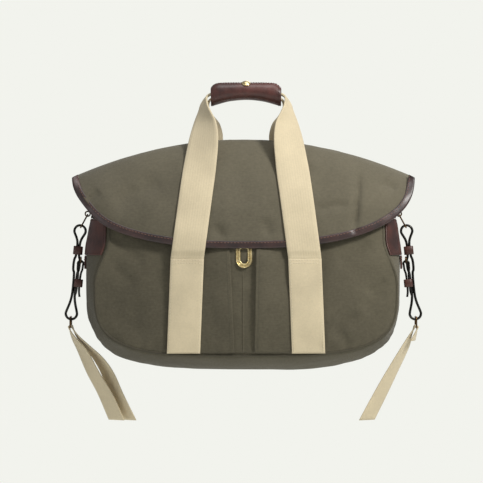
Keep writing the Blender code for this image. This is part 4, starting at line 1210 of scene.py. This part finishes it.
def oblong_path(half_width, half_length):
    straight = half_length - half_width
    return [(half_width * cos(t), half_width * sin(t) + copysign(straight, sin(t)))
            for t in (2 * pi * (k + 0.5) / RIM_POINTS for k in range(RIM_POINTS))]


def plate_path(place, inset, height):
    return [place @ Vector((x, y, height))
            for x, y in oblong_path(LOCK_HALF_WIDTH - inset, LOCK_HALF_LENGTH - inset)]


def make_lock_plate(place):
    out = place.to_3x3() @ Vector((0, 0, 1))
    path = plate_path(place, LOCK_BAND / 2, PLATE_MIDDLE)
    across = []
    for i in range(RIM_POINTS):
        along = (path[(i + 1) % RIM_POINTS] - path[i - 1]).normalized()
        across.append(along.cross(out).normalized())
    band("lock_plate", path, across, [out] * RIM_POINTS, LOCK_BAND / 2, PLATE_MIDDLE, BRASS_LOOK, "bag",
         closed=True)
    for name, inset, size in (("outer", 0.0008, 0.00075), ("inner", LOCK_BAND - 0.0007, 0.00065)):
        wire(f"lock_rim_{name}", plate_path(place, inset, PLATE_RIM), size, BRASS_LOOK, "bag", sides=10,
             closed=True)


def make_lock_loop(place):
    top = (LOOP_TOP_Z - LOCK_Z) / place.col[1].z
    foot = LOCK_BAND + GAP + LOOP_WIRE - LOCK_HALF_LENGTH
    width, corner = LOOP_HALF_WIDTH, 0.0030
    loop = [(corner - width, top), (0, top), (width - corner, top), (width - 0.0008, top - 0.0008),
            (width, top - corner)]
    loop += [(width * cos(t), foot + width * (1 - sin(t))) for t in steps(0, pi, 11)]
    loop += [(-width, top - corner), (0.0008 - width, top - 0.0008)]
    points = smooth_path([place @ Vector((x, y, LOOP_LIFT)) for x, y in loop], 5, closed=True)
    wire("lock_loop", points, LOOP_WIRE, BRASS_LOOK, "loop", closed=True)
    radius = LOOP_WIRE + GAP + 0.0003
    centre = place @ Vector((0, top, LOOP_LIFT))
    rows = [[centre + Vector((x, -radius * cos(a), radius * sin(a)))
             for a in steps(radians(-25), radians(150), 18)] for x in (-0.0025, -0.0023, 0, 0.0023, 0.0025)]
    cloth("loop_clip", rows, 0.0006, BRASS_LOOK, "bag")


# ---------------------------------------------------------------- side leather and hardware

# The three leathers of a side: top and bottom, and reach towards the seams as a share
SIDE_LEATHERS = (("ring_tab", -0.180, -0.1914, 0.12), ("side_patch", -0.192, -0.247, 0.965),
                 ("hook_tab", -0.2476, -0.268, 0.20))


def patch_point(side, z, t, lift):
    s = side_station(z, t)
    if side > 0:
        s = 1 - s
    return gusset_point(s, t) + Vector((side * (lift + gusset_wave(s, t) * 0.7), 0, 0))


def make_side_leather(hand, side):
    out = CANVAS / 2 + 3 * GAP + LEATHER / 2
    lift = out + LEATHER / 2
    for name, high, low, reach in SIDE_LEATHERS:
        shares = [-1, -0.985, *steps(-0.95, 0.95, 19), 0.985, 1]
        heights = [high, high - 0.0006, *steps(high - 0.002, low + 0.002, 14), low + 0.0006, low]
        rows = [[patch_point(side, z, reach * share, out) for share in shares] for z in heights]
        cloth(f"{name}_{hand}", rows, LEATHER, SIDE_LOOK, "bag", direction=Vector((1, 0, 0)), edge=0.5)
        top, bottom, wide = high - 0.0028, low + 0.0028, reach - 0.035
        round_trip = [(z, -wide) for z in steps(top, bottom, 12)]
        round_trip += [(bottom, t) for t in steps(-wide, wide, 30)[1:]]
        round_trip += [(z, wide) for z in steps(bottom, top, 12)[1:]]
        round_trip += [(top, t) for t in steps(wide, -wide, 30)[1:]]
        stitches(f"{name}_stitches_{hand}", [patch_point(side, z, t, lift) for z, t in round_trip],
                 Vector((side, 0, 0)), (DARK_THREAD, "side_leather"), "bag", length=0.0028, gap=0.0014)


# A keeper's section: thickness as a share of its wall, and place along it as a share of its length
KEEPER_RINGS = ((0.7, -0.5), (1, -0.46), (1, 0.46), (0.7, 0.5), (0, 0.5), (0, -0.5))
KEEPER_WALL = 0.0023
KEEPER_ROOM = 0.0007             # between the wire and the leather


def make_keeper(name, place, along, length, leg, wire_radius, body):
    rings = []
    for grow, end in KEEPER_RINGS:
        deep = wire_radius + KEEPER_ROOM + KEEPER_WALL * grow
        rings.append([place(along + end * length, (leg + deep) * signed_power(cos(t), 0.6))
                      + Vector((0, deep * signed_power(sin(t), 0.6), 0)) for t in turns(36)])
    add_tube(name, rings, SIDE_LOOK, body, closed=True)


def make_long_hook(hand, side):
    place = hook_frame(mirrored(side, (HOOK_TOP_X, HOOK_Y, HOOK_TOP_Z)), side)
    low_eye = [(HOOK_LENGTH - along, aside) for along, aside in reversed(eye(HOOK_LOW_EYE))]
    half = [*eye(HOOK_EYE), *HOOK_SHANK, *low_eye]
    path = [place(0, 0), *(place(a, b) for a, b in half), place(HOOK_LENGTH, 0)]
    path += [place(a, -b) for a, b in reversed(half)]
    wire(f"strap_hook_{hand}", smooth_path(path, 5, closed=True), HOOK_WIRE, WIRE_LOOK, f"hook_{hand}",
         closed=True)
    make_keeper(f"hook_keeper_{hand}", place, KEEPER_ALONG, 0.0130, HOOK_SHANK[0][1], HOOK_WIRE,
                f"keeper_{hand}")


def make_short_hook(hand, side):
    top_z = TAB_RING_Z - TAB_RING_RADIUS + SMALL_WIRE + TAB_HOOK_WIRE + GAP
    place = hook_frame(mirrored(side, (TAB_RING_X + GAP, TAB_HOOK_Y, top_z)), side)
    half = [*eye(TAB_HOOK_EYE), *TAB_HOOK_SHANK]
    path = [place(a, -b) for a, b in reversed(half)] + [place(0, 0)] + [place(a, b) for a, b in half]
    wire(f"tab_hook_{hand}", smooth_path(path, 5), TAB_HOOK_WIRE, WIRE_LOOK, f"short_hook_{hand}")
    make_keeper(f"tab_hook_keeper_{hand}", place, TAB_KEEPER_ALONG, 0.0120, TAB_HOOK_SHANK[1][1],
                TAB_HOOK_WIRE, f"short_keeper_{hand}")


def make_rings(hand, side):
    across, back, up = Vector((1, 0, 0)), Vector((0, 1, 0)), Vector((0, 0, 1))
    for name, place, direction, size in (
            ("side_ring", (RING_X, HOOK_Y, RING_Z), across, RING_RADIUS),
            ("tab_ring", (TAB_RING_X, TAB_HOOK_Y, TAB_RING_Z), back, TAB_RING_RADIUS)):
        centre = mirrored(side, place)
        ring = [centre + (direction * cos(t) + up * sin(t)) * size for t in turns(40)]
        wire(f"{name}_{hand}", ring, SMALL_WIRE, BRONZE_LOOK, "bag", closed=True)
    top = mirrored(side, (RING_X, HOOK_Y, RING_Z - RING_RADIUS + 2 * SMALL_WIRE + GAP))
    bottom = mirrored(side, (HOOK_TOP_X, HOOK_Y, HOOK_TOP_Z - HOOK_WIRE - SMALL_WIRE - GAP))
    link = smooth_path(bar_link_path(top, bottom, 0.0050), 6, closed=True)
    wire(f"side_link_{hand}", link, LINK_WIRE, BRONZE_LOOK, f"link_{hand}", closed=True)


def make_shoulder_strap(hand, side):
    foot = hook_frame(mirrored(side, (HOOK_TOP_X, HOOK_Y, HOOK_TOP_Z)), side)(HOOK_LENGTH, 0)
    top = foot + Vector((0, 0, HOOK_WIRE + STRAP_RING_WIRE + GAP))
    ring = bar_link_path(top, foot - Vector((0, 0, STRAP_RING_DROP)), STRAP_RING_HALF_WIDTH)
    wire(f"strap_ring_{hand}", smooth_path(ring, 6, closed=True), STRAP_RING_WIRE, BRONZE_LOOK,
         f"strap_{hand}", closed=True)
    bar = foot - Vector((LEAN, 0, STRAP_RING_DROP))
    radius = STRAP_RING_WIRE + GAP + SHOULDER_CLOTH / 2
    bend = [(side * bar.x + radius * cos(t), bar.z + radius * sin(t), 0)
            for t in steps(radians(-10), radians(190), 7)]
    outer, inner = SHOULDER_RUNS[hand]
    rows = []
    for x, z, turn in (*outer, *bend, *inner):
        across = Vector((side * sin(radians(turn)), cos(radians(turn)), 0)) * SHOULDER_WIDTH / 2
        middle = mirrored(side, (x, HOOK_Y, z))
        rows.append([middle - across, middle, middle + across])
    cloth(f"shoulder_strap_{hand}", widen(smooth_rows(rows, 8)), SHOULDER_CLOTH, WEBBING_LOOK,
          f"strap_{hand}")


# ---------------------------------------------------------------- stage

BACKGROUND = (0.888, 0.896, 0.847)
AMBIENT_COLOR = (0.95, 0.97, 1.0)
AMBIENT = 0.30
FLOOR_Z = -0.700
FLOOR_RADIUS = 1.45
CAMERA_X = -0.0068
CAMERA_Z = -0.2265
CAMERA_DISTANCE = 7.0
VIEW_WIDTH = 0.7317
SENSOR_WIDTH = 36.0
LIGHTS_AIM = Vector((0, 0, -0.24))
# Each light: place, size, power and colour
LIGHTS = {
    "key": ((1.45, -1.35, 1.30), 0.6, 50, (1.0, 0.98, 0.95)),
    "fill": ((-2.2, -2.0, 0.3), 1.6, 9, (0.95, 0.97, 1.0)),
    "top": ((0.2, -0.3, 2.0), 1.0, 16, (1, 1, 1)),
    "back": ((0.5, 2.4, 0.9), 1.5, 22, (1, 1, 1)),
}


def add_object(name, data):
    obj = bpy.data.objects.new(name, data)
    bpy.context.collection.objects.link(obj)
    return obj


def make_floor():
    mesh = bpy.data.meshes.new("floor")
    points = [(FLOOR_RADIUS * cos(t), FLOOR_RADIUS * sin(t), FLOOR_Z) for t in turns(96)]
    mesh.from_pydata(points, [], [tuple(range(96))])
    mesh.materials.append(new_material("floor_paint", BACKGROUND, 0.9)[0])
    add_object("floor", mesh)


def make_lights():
    for name, (location, size, power, color) in LIGHTS.items():
        data = bpy.data.lights.new(name, "AREA")
        data.shape = "DISK"
        data.size = size
        data.energy = power
        data.color = color
        lamp = add_object(name, data)
        lamp.location = location
        lamp.rotation_euler = (LIGHTS_AIM - Vector(location)).to_track_quat("-Z", "Y").to_euler()


def make_world():
    """Soft light from all round, with the plain background seen behind the bag."""
    world = bpy.data.worlds.new("studio")
    bpy.context.scene.world = world
    world.use_nodes = True
    tree = world.node_tree
    shade = tree.nodes["Background"]
    set_values(shade, Color=(*AMBIENT_COLOR, 1), Strength=AMBIENT)
    seen = node(tree, "ShaderNodeBackground", Strength=1.0, Color=(*BACKGROUND, 1))
    path = tree.nodes.new("ShaderNodeLightPath")
    mixer = node(tree, "ShaderNodeMixShader", [("Fac", path.outputs["Is Camera Ray"])])
    tree.links.new(shade.outputs["Background"], mixer.inputs[1])
    tree.links.new(seen.outputs["Background"], mixer.inputs[2])
    tree.links.new(mixer.outputs["Shader"], tree.nodes["World Output"].inputs["Surface"])
    bpy.context.scene.view_settings.view_transform = "Standard"


def make_camera():
    data = bpy.data.cameras.new("camera")
    data.sensor_width = SENSOR_WIDTH
    data.lens = SENSOR_WIDTH * CAMERA_DISTANCE / VIEW_WIDTH
    data.clip_end = 50
    camera = add_object("camera", data)
    camera.location = (CAMERA_X, -CAMERA_DISTANCE, CAMERA_Z)
    camera.rotation_euler = (radians(90), 0, 0)
    bpy.context.scene.camera = camera


make_panel("front_panel", -1)
make_panel("back_panel", 1)
make_gusset()
make_piping()
make_lining()
make_inner_pocket()
make_front_pocket()
for end, facing in (("front", -1), ("back", 1)):
    for hand, side in SIDES:
        make_sewn_strap(f"{end}_strap_sewn_{hand}", side, facing)
make_flap()
make_binding()
make_flap_stud()
make_free_strap("front_webbing", -1, "front_handle")
make_free_strap("back_webbing", 1, "back_handle")
make_grip()
lock_place = lock_frame()
make_lock_plate(lock_place)
make_lock_loop(lock_place)
for hand, side in SIDES:
    make_side_leather(hand, side)
    make_long_hook(hand, side)
    make_short_hook(hand, side)
    make_rings(hand, side)
    make_shoulder_strap(hand, side)
make_floor()
make_world()
make_lights()
make_camera()
